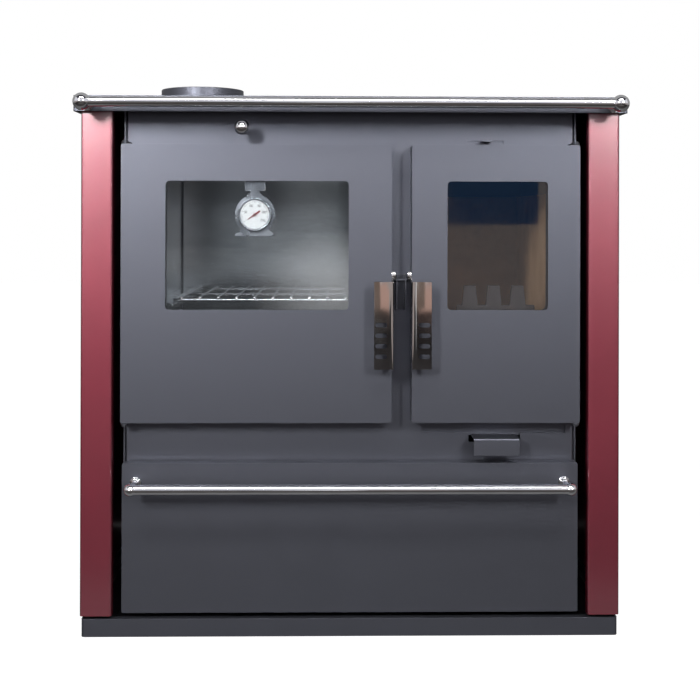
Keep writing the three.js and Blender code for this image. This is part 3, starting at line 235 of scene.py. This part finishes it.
def firebrick(name):
    """Pressed fireclay board: buff with soot clouds and open pores."""
    s = Shader(name)
    sooty, buff, pale = (0.20, 0.11, 0.06), (0.52, 0.32, 0.16), (0.70, 0.47, 0.26)
    clouds = s.noise(scale=7, detail=5)
    pores = s.noise(scale=260, detail=5, rough=0.7)
    s.drive(Base_Color=s.ramp(clouds, [(0.25, sooty), (0.5, buff), (0.8, pale)]),
            Normal=s.bump(pores, strength=0.6, distance=1.2 * MM))
    s.put(Roughness=0.95)
    return s.mat


def stove_glass(name, tint, gloss):
    """Ceramic pane: a clear, faintly tinted body under a mirror film, stronger at a slant."""
    s = Shader(name)
    clear = s.add("ShaderNodeBsdfTransparent")
    clear.inputs["Color"].default_value = (*tint, 1)
    smear = s.noise(scale=5, detail=4)
    s.drive(Base_Color=s.ramp(smear, [(0.3, (0.90, 0.91, 0.93)), (0.8, WHITE)]),
            Roughness=s.spread(smear, 0.01, 0.05))
    s.put(Metallic=1.0)
    slant = s.add("ShaderNodeLayerWeight")
    slant.inputs["Blend"].default_value = 0.18
    share = s.spread(slant.outputs["Fresnel"], gloss, 0.7, start=0.0, end=1.0)
    blend = s.add("ShaderNodeMixShader",
                  [(0, share), (1, clear.outputs[0]), (2, s.main.outputs[0])])
    s.link(blend.outputs[0], s.output.inputs["Surface"])
    return s.mat


def braided_rope(name):
    """Glass-fibre rope: a dark braid in relief."""
    s = Shader(name)
    weave = s.add("ShaderNodeTexWave", [("Vector", s.coords.outputs["Object"])])
    weave.inputs["Scale"].default_value = 180
    weave.inputs["Distortion"].default_value = 3
    fibre = weave.outputs["Fac"]
    s.drive(Base_Color=s.ramp(fibre, [(0.2, (0.02, 0.02, 0.02)), (0.8, (0.09, 0.09, 0.085))]),
            Normal=s.bump(fibre, strength=0.8, distance=1 * MM))
    s.put(Roughness=1.0)
    return s.mat


def flat_enamel(name, colour):
    """Even, half-matt enamel."""
    s = Shader(name)
    s.drive(Base_Color=s.tinted(s.noise(scale=60), colour, 0.94, 1),
            Roughness=s.spread(s.noise(scale=90), 0.45, 0.55))
    return s.mat


PAINT_BLACK = (0.014, 0.0145, 0.0165)
SHEEN = (0.80, 0.83, 1.0)
FINISHES = {
    "black_paint": (powder_coat, dict(colour=PAINT_BLACK, roughness=0.45, ior=1.74)),
    # lighter, glossier black paint for the rounded edges: a painted highlight along every bend
    "black_edge": (powder_coat, dict(colour=scaled(PAINT_BLACK, 1.4), roughness=0.38, ior=1.9)),
    "dark_steel": (powder_coat, dict(colour=(0.018, 0.018, 0.020), roughness=0.55)),
    # lighter dark paint for the rounded edges: a painted highlight along every bend
    "dark_edge": (powder_coat, dict(colour=(0.05, 0.05, 0.052), roughness=0.40)),
    "red_paint": (powder_coat, dict(colour=(0.27, 0.005, 0.030), roughness=0.50, metallic=0.85,
                                    coat=0.92)),
    # brighter red for the rounded edges: a painted highlight along every bend
    "red_edge": (powder_coat, dict(colour=(0.60, 0.03, 0.05), roughness=0.45, metallic=0.8,
                                   coat=0.9)),
    "chrome": (polished, dict(colour=(0.80, 0.80, 0.82), roughness=0.07)),
    "chrome_sheet": (polished, dict(colour=(0.80, 0.78, 0.77), roughness=0.05)),
    "oven_steel": (brushed, dict(colour=(0.68, 0.70, 0.72), roughness=0.20, depth=0.12)),
    "zinc_sheet": (brushed, dict(colour=(0.50, 0.52, 0.54), roughness=0.42, depth=0.1,
                                 stretch=(1, 8, 8))),
    "cast_iron": (cast, dict(colour=(0.022, 0.022, 0.024), roughness=0.62)),
    "hob_iron": (cast, dict(colour=(0.030, 0.030, 0.033), roughness=0.42)),
    "fireclay": (firebrick, {}),
    "door_rope": (braided_rope, {}),
    "door_glass": (stove_glass, dict(tint=(0.965, 0.98, 0.985), gloss=0.075)),
    "fire_glass": (stove_glass, dict(tint=(0.94, 0.945, 0.96), gloss=0.085)),
    "needle_red": (flat_enamel, dict(colour=(0.28, 0.02, 0.03))),
    "satin_steel": (polished, dict(colour=(0.46, 0.48, 0.52), roughness=0.24, brush=0.1)),
    # paler, rougher metal as painted highlights: the thermometer holder's hook and the bright dots
    # of the rack's wire ends
    "bright_satin": (polished, dict(colour=(0.97, 0.96, 0.98), roughness=0.60)),
    "soot": (cast, dict(colour=(0.012, 0.011, 0.010), roughness=0.9)),
    "dial_white": (flat_enamel, dict(colour=(0.93, 0.93, 0.93))),
    "dial_ink": (flat_enamel, dict(colour=(0.03, 0.03, 0.035))),
}
MATERIALS = {name: make(name, **look) for name, (make, look) in FINISHES.items()}
# each paint and its lighter copy, the painted highlight on its rounded edges
HIGHLIGHT_EDGE_OF = {"black_paint": "black_edge", "dark_steel": "dark_edge", "red_paint": "red_edge"}


# ---------------------------------------------------------------- mesh helpers
WELD = 2e-6                   # metres; corners closer than this become one
FLAT = math.radians(0.5)      # faces that differ less than this in direction are one face
SHARP = math.radians(38)      # edges that turn by more than this are rounded
ON_AXIS = 1e-7                # metres; a turned ring smaller than this is a point
DOME_ANGLES = [math.radians(degrees) for degrees in (0, 30, 55, 75, 90)]
DOME_HEIGHT = 0.8             # of a rod's end, as a share of its radius
BEND_STEPS = 6                # in a wire's quarter bend


def finished(bm, name):
    bmesh.ops.recalc_face_normals(bm, faces=bm.faces)
    mesh = bpy.data.meshes.new(name)
    bm.to_mesh(mesh)
    bm.free()
    return mesh


def shade(piece, degrees):
    """Smooth shading that keeps large faces flat and lets only the bevels turn."""
    for polygon in piece.data.polygons:
        polygon.use_smooth = True
    piece.data.set_sharp_from_angle(angle=math.radians(degrees))
    weighted = piece.modifiers.new("face_weighted", "WEIGHTED_NORMAL")
    weighted.mode = "FACE_AREA"
    weighted.weight = 60
    weighted.keep_sharp = True


def fresh(name, bm, material, node, smooth=40, instead=True, second=None):
    """A piece that rides with a CAD node's body and may stand in for it.
    Faces of material index 1 get the second material."""
    mesh = finished(bm, name)
    piece = bpy.data.objects.new(name, mesh)
    bpy.context.scene.collection.objects.link(piece)
    mesh.materials.append(MATERIALS[material])
    body, slot = BODY_OF[node], SLOT_OF[node]
    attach(piece, body)
    if second:
        mesh.materials.append(MATERIALS[second])
    shade(piece, smooth)
    if instead:
        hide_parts(node)
    return piece


def dress(node, material=None, *, bevel, segments=2, second=None):
    """Takes a CAD node's solid, rounds its sharp edges and gives it its finish."""
    material = material or SLOT_OF[node]
    bm = bmesh.new()
    bm.from_mesh(NODES[node].data)
    bmesh.ops.remove_doubles(bm, verts=bm.verts, dist=WELD)
    bmesh.ops.dissolve_limit(bm, angle_limit=FLAT, verts=bm.verts, edges=bm.edges)
    for face in bm.faces:
        face.material_index = 0
    if bevel:
        sharp = [edge for edge in bm.edges
                 if len(edge.link_faces) == 2 and edge.calc_face_angle(0) > SHARP]
        rounded = bmesh.ops.bevel(bm, geom=sharp, offset=bevel, offset_type="OFFSET",
                                  segments=segments, profile=0.5, affect="EDGES",
                                  clamp_overlap=True)
        # the rounded edges' faces take the lighter paint: a painted highlight
        if material in HIGHLIGHT_EDGE_OF:
            for face in rounded["faces"]:
                face.material_index = 1
    return fresh("fine_" + node, bm, material, node, smooth=32,
                 second=second or HIGHLIGHT_EDGE_OF.get(material))


def dress_all(*nodes, **finish):
    for node in nodes:
        dress(node, **finish)


def ring(seat, radius, along, segments):
    """Places of a ring's corners about a seat's own upright axis."""
    turns = (2 * math.pi * i / segments for i in range(segments if radius > ON_AXIS else 1))
    return [seat @ Vector((radius * math.cos(a), radius * math.sin(a), along)) for a in turns]


def add_turned(bm, profile, origin, axis, segments, closed=False):
    """Turns (radius, distance) points about an axis; the radius may come down to nothing."""
    seat = Matrix.Translation(origin) @ Vector(axis).to_track_quat("Z", "Y").to_matrix().to_4x4()
    rings = [[bm.verts.new(place) for place in ring(seat, radius, along, segments)]
             for radius, along in profile]
    faces = []
    for low, high in list(zip(rings, rings[1:])) + ([(rings[-1], rings[0])] if closed else []):
        for i in range(segments):
            j = (i + 1) % segments
            corners = [low[i % len(low)], low[j % len(low)],
                       high[j % len(high)], high[i % len(high)]]
            unique = list(dict.fromkeys(corners))
            if len(unique) > 2:
                faces.append(bm.faces.new(unique))
    return faces


def add_rod(bm, start, end, radius, segments=16):
    """A wire or rod with domed ends."""
    start, end = Vector(start), Vector(end)
    length = (end - start).length
    dome = [(radius * math.sin(a), radius * (1 - math.cos(a)) * DOME_HEIGHT)
            for a in DOME_ANGLES]
    profile = dome + [(r, length - z) for r, z in reversed(dome)]
    add_turned(bm, profile, start, end - start, segments)


def add_loop(bm, corners, radius, bend, sides=14):
    """A wire bent into a closed flat frame with rounded corners."""
    path = []
    for i, corner in enumerate(corners):
        here = Vector(corner)
        before = (Vector(corners[i - 1]) - here).normalized() * bend
        after = (Vector(corners[(i + 1) % len(corners)]) - here).normalized() * bend
        centre = here + before + after
        for step in range(BEND_STEPS + 1):
            t = math.radians(90 * step / BEND_STEPS)
            path.append(centre - after * math.cos(t) - before * math.sin(t))
    rings = []
    for i, point in enumerate(path):
        along = (path[(i + 1) % len(path)] - path[i - 1]).normalized()
        out = along.cross(UP)
        turns = (2 * math.pi * k / sides for k in range(sides))
        rings.append([bm.verts.new(point + out * radius * math.cos(a) + UP * (radius * math.sin(a)))
                      for a in turns])
    for low, high in zip(rings, rings[1:] + rings[:1]):
        for k in range(sides):
            m = (k + 1) % sides
            bm.faces.new((low[k], low[m], high[m], high[k]))


def add_slab(bm, centre, right, up, size):
    """A thin block lying in the plane of two directions; size runs along them and across."""
    right, up = Vector(right).normalized(), Vector(up).normalized()
    out = right.cross(up)
    made = bmesh.ops.create_cube(bm, size=1.0)
    for vert in made["verts"]:
        x, y, z = vert.co
        vert.co = Vector(centre) + right * x * size[0] + up * y * size[1] + out * z * size[2]


def arc(radius, height, size, start, end, steps=8):
    """Points of a rounded edge in a turned profile; angles in degrees from straight outward."""
    angles = [math.radians(start + (end - start) * i / steps) for i in range(steps + 1)]
    return [(radius + size * math.cos(a), height + size * math.sin(a)) for a in angles]


def ball_points(ball, throat, centre, steps):
    """Points of a turned ball from its pole to where a throat of that radius leaves it."""
    reach = math.pi - math.asin(throat / ball)
    return [(ball * math.sin(reach * i / steps), centre - ball * math.cos(reach * i / steps))
            for i in range(steps + 1)]


# ---------------------------------------------------------------- pieces
def dress_casing():
    """Painted sheet metal: plinth, panels, doors, shelves and hinges."""
    dress_all("base_plinth", "front_panel", "top_frame", "drawer_front", "oven_door_skin",
              "firebox_door_skin", bevel=0.9 * MM, segments=3)
    dress_all("side_panel_left", "side_panel_right", bevel=0.5 * MM)
    dress_all("primary_air_slide", "secondary_air_slide", "back_panel", "carcass_floor",
              "mid_shelf", "firebox_divider", "ash_shelf", "catch_bracket", "damper_guide",
              "damper_plate", "oven_door_liner", "firebox_door_liner", "oven_door_hinge_top",
              "oven_door_hinge_bottom", "firebox_door_hinge_top", "firebox_door_hinge_bottom",
              bevel=0.4 * MM)
    dress_all("carcass_wall_left", "carcass_wall_right", material="black_paint", bevel=0.4 * MM)
    make_collar()
    make_back_screws()


def make_collar():
    """The collar's rolled rim, painted outside and flange; its bore is sooty."""
    low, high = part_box("flue_collar")
    centre = Vector(((low.x + high.x) / 2, (low.y + high.y) / 2, 0))
    bore, wall, flange = 76 * MM, 79 * MM, (high.x - low.x) / 2
    flange_depth, chamfer, fillet, roll = 3.7 * MM, 0.6 * MM, 0.8 * MM, 1.5 * MM
    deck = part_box("cooking_plate")[1].z
    seat = deck - flange_depth
    outside = [(bore, low.z), (wall, low.z), (wall, seat), (flange, seat),
               (flange, deck - chamfer), (flange - chamfer, deck), (wall + fillet, deck),
               (wall, deck + fillet)]
    rim = arc((bore + wall) / 2, high.z - roll, roll, 0, 180)
    bm = bmesh.new()
    add_turned(bm, outside + rim, centre, UP, 96, closed=True)
    near_bore = bore + 0.2 * MM
    for face in bm.faces:
        if (face.calc_center_median() - centre).xy.length < near_bore:
            face.material_index = 1
    fresh("fine_flue_collar", bm, "black_paint", "flue_collar", second="soot")


def make_back_screws():
    """Pan-head screws with a cross on top hold the back panel's edges."""
    low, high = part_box("back_panel")
    inset, shares = 12 * MM, (0.04, 0.35, 0.65, 0.96)
    head_r, brim, dome = 4 * MM, 0.6 * MM, 1.8 * MM
    bar, bar_at = (4.2 * MM, 0.8 * MM, 0.3 * MM), 2.35 * MM
    round_top = [(head_r * math.sin(a), brim + dome * math.cos(a)) for a in (0.5, 0.9, 1.3, 1.57)]
    head = [(0, brim + dome)] + round_top + [(head_r, 0), (0, 0)]
    bm = bmesh.new()
    for side in (low.x + inset, high.x - inset):
        for share in shares:
            at = Vector((side, high.y, low.z + (high.z - low.z) * share))
            add_turned(bm, head, at, BACK, 24)
            driven = 20 + 140 * share          # degrees; a row's heads stop at various angles
            for turn in (math.radians(driven), math.radians(driven + 90)):
                along = Vector((math.cos(turn), 0, math.sin(turn)))
                add_slab(bm, at + BACK * bar_at, along, along.cross(BACK), bar)
    fresh("back_screws", bm, "zinc_sheet", "back_panel", instead=False)


def dress_metal():
    """Bright and bare metal: handles, thermometer, rails, knob, rack, oven and drawer."""
    dress_all("oven_door_handle", "firebox_door_handle", material="chrome_sheet",
              bevel=0.7 * MM, segments=3)
    make_thermometer()
    make_rail("top_rail", tube_r=8 * MM, post_r=6 * MM, foot_r=11 * MM)
    make_rail("drawer_rail", tube_r=8 * MM, post_r=5 * MM, foot_r=9 * MM)
    make_knob()
    make_rack()
    make_oven_seams()
    dress_all("oven_box", "rack_runner_left", "rack_runner_right", "ash_pan", "drawer_box",
              "drawer_runner_left", "drawer_runner_right", bevel=0.3 * MM)


def make_oven_seams():
    """Fillets run down the back corners and along the foot of the oven's back; their dark paint on
    the light steel is painted shade in these corners.
    """
    low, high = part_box("oven_box")
    wall, bead = 2.0 * MM, 1.4 * MM
    left, right = low.x + wall + bead, high.x - wall - bead
    floor, roof = low.z + wall + bead, high.z - wall - bead
    back = high.y - wall - bead
    bm = bmesh.new()
    for x in (left, right):
        add_rod(bm, (x, back, floor), (x, back, roof), bead, 10)
    add_rod(bm, (left, back, floor), (right, back, floor), bead, 10)
    # dark paint along the inner corners: painted shade
    fresh("oven_seams", bm, "dark_steel", "oven_box", instead=False)


def make_rail(name, tube_r, post_r, foot_r):
    """A drawn tube with a turned ball on each end, on two turned posts."""
    low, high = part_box(name)
    middle, y, z = ((start + end) / 2 for start, end in zip(low, high))
    ball = (high.z - low.z) / 2
    half = (high.x - low.x) / 2 - ball
    cap = ball_points(ball, tube_r + 0.4 * MM, -half, 20)
    throat = cap[-1][1]
    cap += [(tube_r + 0.1 * MM, throat + 0.25 * MM), (tube_r, throat + 0.8 * MM)]
    profile = cap + [(tube_r, 0)] + [(r, -x) for r, x in reversed(cap)]
    bm = bmesh.new()
    add_turned(bm, profile, (middle, y, z), RIGHT, 72)
    fresh("fine_" + name, bm, "chrome", name, smooth=30)

    foot_depth, fillet, edge, clearance = 3 * MM, 2 * MM, 0.8 * MM, 0.2 * MM
    for side in ("left", "right"):
        node = f"{name}_post_{side}"
        low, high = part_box(node)
        x, foot = (low.x + high.x) / 2, high.y
        reach = foot - y - math.sqrt(ball ** 2 - post_r ** 2) - clearance
        profile = [(0, reach), (post_r, reach), (post_r, foot_depth + fillet)]
        profile += arc(post_r + fillet, foot_depth + fillet, fillet, 180, 270, 6)
        profile += arc(foot_r - edge, foot_depth - edge, edge, 90, 0, 4) + [(foot_r, 0), (0, 0)]
        bm = bmesh.new()
        add_turned(bm, profile, (x, foot, z), -BACK, 48)
        fresh("fine_" + node, bm, "chrome", node)


def make_knob():
    """A ball turned in one with its neck."""
    low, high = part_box("damper_knob")
    x, z = (low.x + high.x) / 2, (low.z + high.z) / 2
    ball, length = (high.z - low.z) / 2, high.y - low.y
    neck, edge = 6.5 * MM, 0.6 * MM
    profile = ball_points(ball, neck + 0.5 * MM, ball, 22)
    shoulder = profile[-1][1]
    profile += [(neck, shoulder + edge), (neck, length - edge), (neck - edge, length), (0, length)]
    bm = bmesh.new()
    add_turned(bm, profile, (x, low.y, z), BACK, 64)
    fresh("fine_damper_knob", bm, "chrome", "damper_knob")


def make_rack():
    """Bright wire: a bent frame, a cross bar and ten long wires welded on top."""
    low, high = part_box("oven_rack")
    frame_r, wire_r, bead_r = 2.75 * MM, 2.0 * MM, 2.3 * MM
    weld_r, weld_half, weld_drop = 3.1 * MM, 1.9 * MM, 1.7 * MM
    bend, inset, wires = 11 * MM, 13.2 * MM, 10
    z, wire_z = low.z + frame_r, high.z - wire_r
    left, right = low.x + frame_r, high.x - frame_r
    front, back = low.y + frame_r, high.y - frame_r
    middle = (front + back) / 2
    first, last = left + inset, right - inset
    weld = [(0, -weld_half)] + arc(0, 0, weld_r, -35, 35, 4) + [(0, weld_half)]
    bm = bmesh.new()
    add_loop(bm, [(left, front, z), (right, front, z), (right, back, z), (left, back, z)],
             frame_r, bend)
    add_rod(bm, (left, middle, z), (right, middle, z), frame_r * 0.9)
    for i in range(wires):
        x = first + (last - first) * i / (wires - 1)
        add_rod(bm, (x, low.y + 0.4 * MM, wire_z), (x, high.y - 0.4 * MM, wire_z), wire_r)
        for y in (front, middle, back):
            add_turned(bm, weld, (x, y, wire_z - weld_drop), UP, 14)
        bead_at = (x, low.y + 0.1 * MM, high.z - 2.35 * MM)
        # the wire ends' beads take the paler finish: painted highlights, the bright dots along the
        # rack's front
        for face in add_turned(bm, ball_points(bead_r, 0, bead_r, 10), bead_at, BACK, 16):
            face.material_index = 1
    fresh("fine_oven_rack", bm, "chrome", "oven_rack", smooth=50, second="bright_satin")


def make_thermometer():
    """Satin holder and case with a rolled bezel, and an enamelled dial with its scale."""
    holder = dress("thermometer_holder", "satin_steel", bevel=0.25 * MM, second="bright_satin")
    low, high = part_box("thermometer_case")
    highlight_from = high.z + 10 * MM             # above this the holder's hook gets the paler finish: a painted highlight where it catches the light
    for polygon in holder.data.polygons:
        if polygon.center.z > highlight_from:
            polygon.material_index = 1
    x, z = (low.x + high.x) / 2, (low.z + high.z) / 2
    case_r, chamfer, bezel, dial_sunk = 27 * MM, 0.8 * MM, 2 * MM, 2.2 * MM
    depth = high.y - low.y
    profile = [(0, 0), (case_r - chamfer, 0), (case_r, chamfer)]
    profile += arc(case_r - bezel, depth - bezel, bezel, 0, 180, 12)
    profile += [(case_r - 2 * bezel, depth - dial_sunk), (0, depth - dial_sunk)]
    bm = bmesh.new()
    add_turned(bm, profile, (x, high.y, z), -BACK, 96)
    fresh("fine_thermometer_case", bm, "satin_steel", "thermometer_case")

    dial_r, enamel = 22.6 * MM, 0.15 * MM
    dial_at = Vector((x, low.y + dial_sunk - enamel, z))
    bm = bmesh.new()
    add_turned(bm, [(0, 0), (dial_r, 0), (dial_r, enamel), (0, enamel)], dial_at, BACK, 72)
    fresh("thermometer_dial", bm, "dial_white", "thermometer_case", instead=False)
    make_scale(dial_at)


SCALE_START, SCALE_SWEEP = 215, 250            # degrees, from the right and clockwise
SCALE_STEPS, STEP_VALUE = 50, 5
# Strokes of a numeral: top, upper left, upper right, middle, lower left, lower right, bottom
NUMERALS = {"0": "1110111", "1": "0010010", "2": "1011101", "3": "1011011", "5": "1101011"}


def add_numeral(bm, digit, centre, height, depth):
    """A numeral of straight strokes, upright and facing the front."""
    half_w, half_h, stroke = height * 0.26, height / 2, height * 0.13
    flat, upright = (half_w * 2.2, stroke), (stroke, half_h * 1.15)
    bars = [(0, half_h, flat),
            (-half_w, half_h / 2, upright), (half_w, half_h / 2, upright),
            (0, 0, flat),
            (-half_w, -half_h / 2, upright), (half_w, -half_h / 2, upright),
            (0, -half_h, flat)]
    for on, (x, z, size) in zip(NUMERALS[digit], bars):
        if on == "1":
            add_slab(bm, centre + Vector((x, 0, z)), RIGHT, UP, (*size, depth))


def make_scale(dial_at):
    """Ticks, numerals from 50 to 250 and the needle's pin, printed on the dial."""
    scale_r, numeral_r = 21.4 * MM, 15.2 * MM
    ink, digit_height, digit_pitch = 0.12 * MM, 3.2 * MM, 2.3 * MM
    bm = bmesh.new()
    for k in range(SCALE_STEPS + 1):
        turn = math.radians(SCALE_START) - math.radians(SCALE_SWEEP) * k / SCALE_STEPS
        out = Vector((math.cos(turn), 0, math.sin(turn)))
        long = (2.8 if k % 10 == 0 else 2.2 if k % 5 == 0 else 1.5) * MM
        wide = (0.55 if k % 5 == 0 else 0.28) * MM
        add_slab(bm, dial_at + out * (scale_r - long / 2), out, out.cross(BACK), (long, wide, ink))
        if k % 10 == 0 and k:
            text = str(k * STEP_VALUE)
            for i, digit in enumerate(text):
                shift = RIGHT * ((i - (len(text) - 1) / 2) * digit_pitch)
                add_numeral(bm, digit, dial_at + out * numeral_r + shift, digit_height, ink)
    pin = [(0, 0), (0.9 * MM, 0), (0.9 * MM, 1.6 * MM), (0.4 * MM, 1.9 * MM), (0, 1.9 * MM)]
    add_turned(bm, pin, dial_at, -BACK, 24)
    fresh("thermometer_scale", bm, "dial_ink", "thermometer_case", instead=False)


def dress_fire():
    """Hob, firebox, gaskets, glass and the thermometer's needle."""
    dress_all("cooking_plate", "hob_ring", "hob_lid", material="hob_iron", bevel=0.5 * MM)
    dress_all("firebox_floor", "grate", "log_guard", bevel=1.2 * MM)
    dress_all("brick_left", "brick_right", "brick_back", bevel=2.0 * MM)
    dress_all("oven_door_gasket", "firebox_door_gasket", bevel=1.2 * MM)
    dress("oven_door_glass", "door_glass", bevel=0.4 * MM)
    dress("firebox_door_glass", "fire_glass", bevel=0.4 * MM)
    dress("thermometer_needle", bevel=0)


# ---------------------------------------------------------------- studio
SWEEP_EDGE = -0.56            # the white sweep ends here, just out of the frame
SWEEP_WIDTH, SWEEP_DEPTH = 16, 10
SWEEP_COLOUR, SWEEP_GLOW = (0.14, 0.14, 0.14), (0.985, 0.985, 0.985)
GLOSSY_GLOW = 0.06            # the sweep as metal sees it
SKY_LIGHT = 0.12              # the white world as a lamp
GLOSSY_SKY = 0.3              # and as metal sees it
FLOOR_DROP = -0.0005          # the floor lies just under the stove
ROOM_BACK = -4.4              # the wall that the stove faces
ROOM_HALF, ROOM_HEIGHT = 3.5, 3.6
ROOM_COLOUR = (0.030, 0.025, 0.022)
SKIRTING = 0.19               # the room's walls are dark up to here,
DADO = 0.95                   # brown up to here and bright above
SHELF_GLOW = (0.19, 0.20, 0.215)
ROOM_GLOWS = {                # what metal and glass see; paper brightens towards its middle
    "room_wall": [(0.34, 0.30, 0.29)],
    "room_carpet": [(0.014, 0.013, 0.014)],
    "room_bright": [(0.80, 0.80, 0.85)],
    "room_ceiling": [(0.05, 0.05, 0.06)],
    "cabinet": [(0.46, 0.30, 0.25)],
    "doorway": [(0.16, 0.12, 0.10)],
    "paper": [SHELF_GLOW, (1.7, 1.7, 1.72)],
    "screen": [(0.08, 0.085, 0.095)],
    "shelf": [SHELF_GLOW],
    "rug": [(0.16, 0.145, 0.135)],
    "curtain": [(0.04, 0.09, 0.19)],
}
LAMPS = (                     # power in watts, spread in degrees
    dict(name="left_box", place=(-1.27, -2.785, 1.62), target=(-0.2, -0.3, 0.95),
         size=(0.30, 0.72), power=12.7, spread=80),
    dict(name="right_box", place=(1.27, -2.785, 1.62), target=(0.2, -0.3, 0.95),
         size=(0.36, 0.72), power=7.0, spread=80),
    dict(name="top_box", place=(0, -2.0, 2.9), target=(0, -0.3, 0.9),
         size=(2.2, 0.4), power=24, spread=120),
)


def area_lamp(name, place, target, size, power, spread):
    data = bpy.data.lights.new(name, "AREA")
    data.spread = math.radians(spread)
    data.shape = "RECTANGLE"
    data.size, data.size_y = size
    data.energy = power
    lamp = bpy.data.objects.new(name, data)
    lamp.location = place
    lamp.rotation_euler = (Vector(target) - Vector(place)).to_track_quat("-Z", "Y").to_euler()
    bpy.context.scene.collection.objects.link(lamp)


def seen_directly(tree, glossy):
    """1 for camera and transmission rays, a share of it for glossy ones, 0 for light alone."""
    path = tree.nodes.new("ShaderNodeLightPath")
    share = tree.nodes.new("ShaderNodeMath")
    share.operation = "MULTIPLY"
    share.inputs[1].default_value = glossy
    tree.links.new(path.outputs["Is Glossy Ray"], share.inputs[0])
    total = share.outputs[0]
    for ray in ("Is Camera Ray", "Is Transmission Ray"):
        pick = tree.nodes.new("ShaderNodeMath")
        pick.operation = "MAXIMUM"
        tree.links.new(total, pick.inputs[0])
        tree.links.new(path.outputs[ray], pick.inputs[1])
        total = pick.outputs[0]
    return total


def sweep_material(name):
    """The sweep: near white to the camera and through glass, dim to metal."""
    s = Shader(name)
    s.put(Base_Color=(*SWEEP_COLOUR, 1), Roughness=0.9, Specular_IOR_Level=0.1,
          Emission_Color=(*SWEEP_GLOW, 1))
    s.drive(Emission_Strength=seen_directly(s.tree, GLOSSY_GLOW))
    return s.mat


def room_material(name, glow, heart=None):
    """A surface of the room in front of the stove. Metal and glass see its glow, the camera
    sees white, and it lights nothing. With a heart the glow changes to that in the middle."""
    s = Shader(name)
    s.put(Base_Color=(*ROOM_COLOUR, 1), Roughness=0.9)
    shown = (*glow, 1)
    if heart:
        spot = s.add("ShaderNodeTexGradient", [("Vector", s.stretched((2, 2, 2)))],
                     gradient_type="SPHERICAL")
        shown = s.mix(spot.outputs["Fac"], shown, (*heart, 1))
    path = s.add("ShaderNodeLightPath")
    s.drive(Emission_Color=s.mix(path.outputs["Is Camera Ray"], shown, (*WHITE, 1)),
            Emission_Strength=seen_directly(s.tree, 1.0))
    return s.mat


def stage_card(name, centre, size, facing, material):
    """A flat card; its middle, its two sizes and the direction that it faces."""
    bm = bmesh.new()
    bmesh.ops.create_grid(bm, x_segments=1, y_segments=1, size=0.5)
    card = bpy.data.objects.new(name, finished(bm, name))
    card.scale = (*size, 1)
    card.location = centre
    card.rotation_euler = Vector(facing).to_track_quat("Z", "Y").to_euler()
    card.data.materials.append(material)
    bpy.context.scene.collection.objects.link(card)


def wall_card(name, across, upright, forward, material):
    """A card on the wall that the stove faces, or a little in front of it."""
    (left, right), (foot, top) = across, upright
    centre = ((left + right) / 2, ROOM_BACK + forward, (foot + top) / 2)
    stage_card(name, centre, (right - left, top - foot), BACK, material)


def make_room():
    """The room that the stove's metal and glass mirror."""
    look = {name: room_material(name, *glows) for name, glows in ROOM_GLOWS.items()}
    wall, bright, carpet = look["room_wall"], look["room_bright"], look["room_carpet"]
    middle, depth = (SWEEP_EDGE + ROOM_BACK) / 2, SWEEP_EDGE - ROOM_BACK
    width, across = 2 * ROOM_HALF, (-ROOM_HALF, ROOM_HALF)

    stage_card("room_floor", (0, middle, FLOOR_DROP), (width, depth), UP, carpet)
    stage_card("room_ceiling", (0, middle, ROOM_HEIGHT), (width, depth), -UP,
               look["room_ceiling"])
    wall_card("room_back", across, (SKIRTING, DADO), 0, wall)
    wall_card("room_back_bright", across, (DADO, ROOM_HEIGHT), 0, bright)
    wall_card("room_skirting", across, (0, SKIRTING), 0, carpet)
    wall_card("cabinet", (0.34, 0.54), (SKIRTING, 0.33), 0.05, look["cabinet"])
    wall_card("doorway", (0.12, 0.34), (SKIRTING, 0.46), 0.05, look["doorway"])
    wall_card("plinth_card", (0.12, 0.60), (0, SKIRTING), 0.05, carpet)
    wall_card("paper", (-0.44, 0.46), (0, 0.58), 0.045, look["paper"])
    wall_card("screen", (-1.1, 0.11), (0.50, DADO), 0.04, look["screen"])
    wall_card("shelf", (-1.1, -0.44), (SKIRTING, 0.50), 0.04, look["shelf"])
    stage_card("rug", (0, -1.95, 0.001), (2.4, 0.7), UP, look["rug"])
    wall_card("curtain", (0.56, 1.02), (0.62, 1.00), 0.05, look["curtain"])
    for side in (-1, 1):
        for part, low, high, paint in (("low", 0, DADO, wall), ("high", DADO, ROOM_HEIGHT, bright)):
            stage_card(f"room_side_{part}_{side}", (side * ROOM_HALF, middle, (low + high) / 2),
                       (depth, high - low), (-side, 0, 0), paint)


def make_world():
    """A white world: bright to the camera, weak as a lamp and in reflections."""
    world = bpy.data.worlds.new("world")
    world.use_nodes = True
    bpy.context.scene.world = world
    tree = world.node_tree
    background = tree.nodes["Background"]
    background.inputs["Color"].default_value = (*WHITE, 1)
    strength = tree.nodes.new("ShaderNodeMapRange")
    strength.inputs["To Min"].default_value = SKY_LIGHT
    strength.inputs["To Max"].default_value = 1.0
    tree.links.new(seen_directly(tree, GLOSSY_SKY), strength.inputs["Value"])
    tree.links.new(strength.outputs["Result"], background.inputs["Strength"])


def make_studio():
    """White sweep behind the stove, the room before it, the world and three softboxes."""
    stage_card("floor", (0, SWEEP_EDGE + SWEEP_DEPTH / 2, FLOOR_DROP),
               (SWEEP_WIDTH, SWEEP_DEPTH), UP, sweep_material("floor_white"))
    make_room()
    make_world()
    for lamp in LAMPS:
        area_lamp(**lamp)
    bpy.context.scene.view_settings.view_transform = "Standard"


# ---------------------------------------------------------------- build
make_camera()
dress_casing()
dress_metal()
dress_fire()
make_studio()
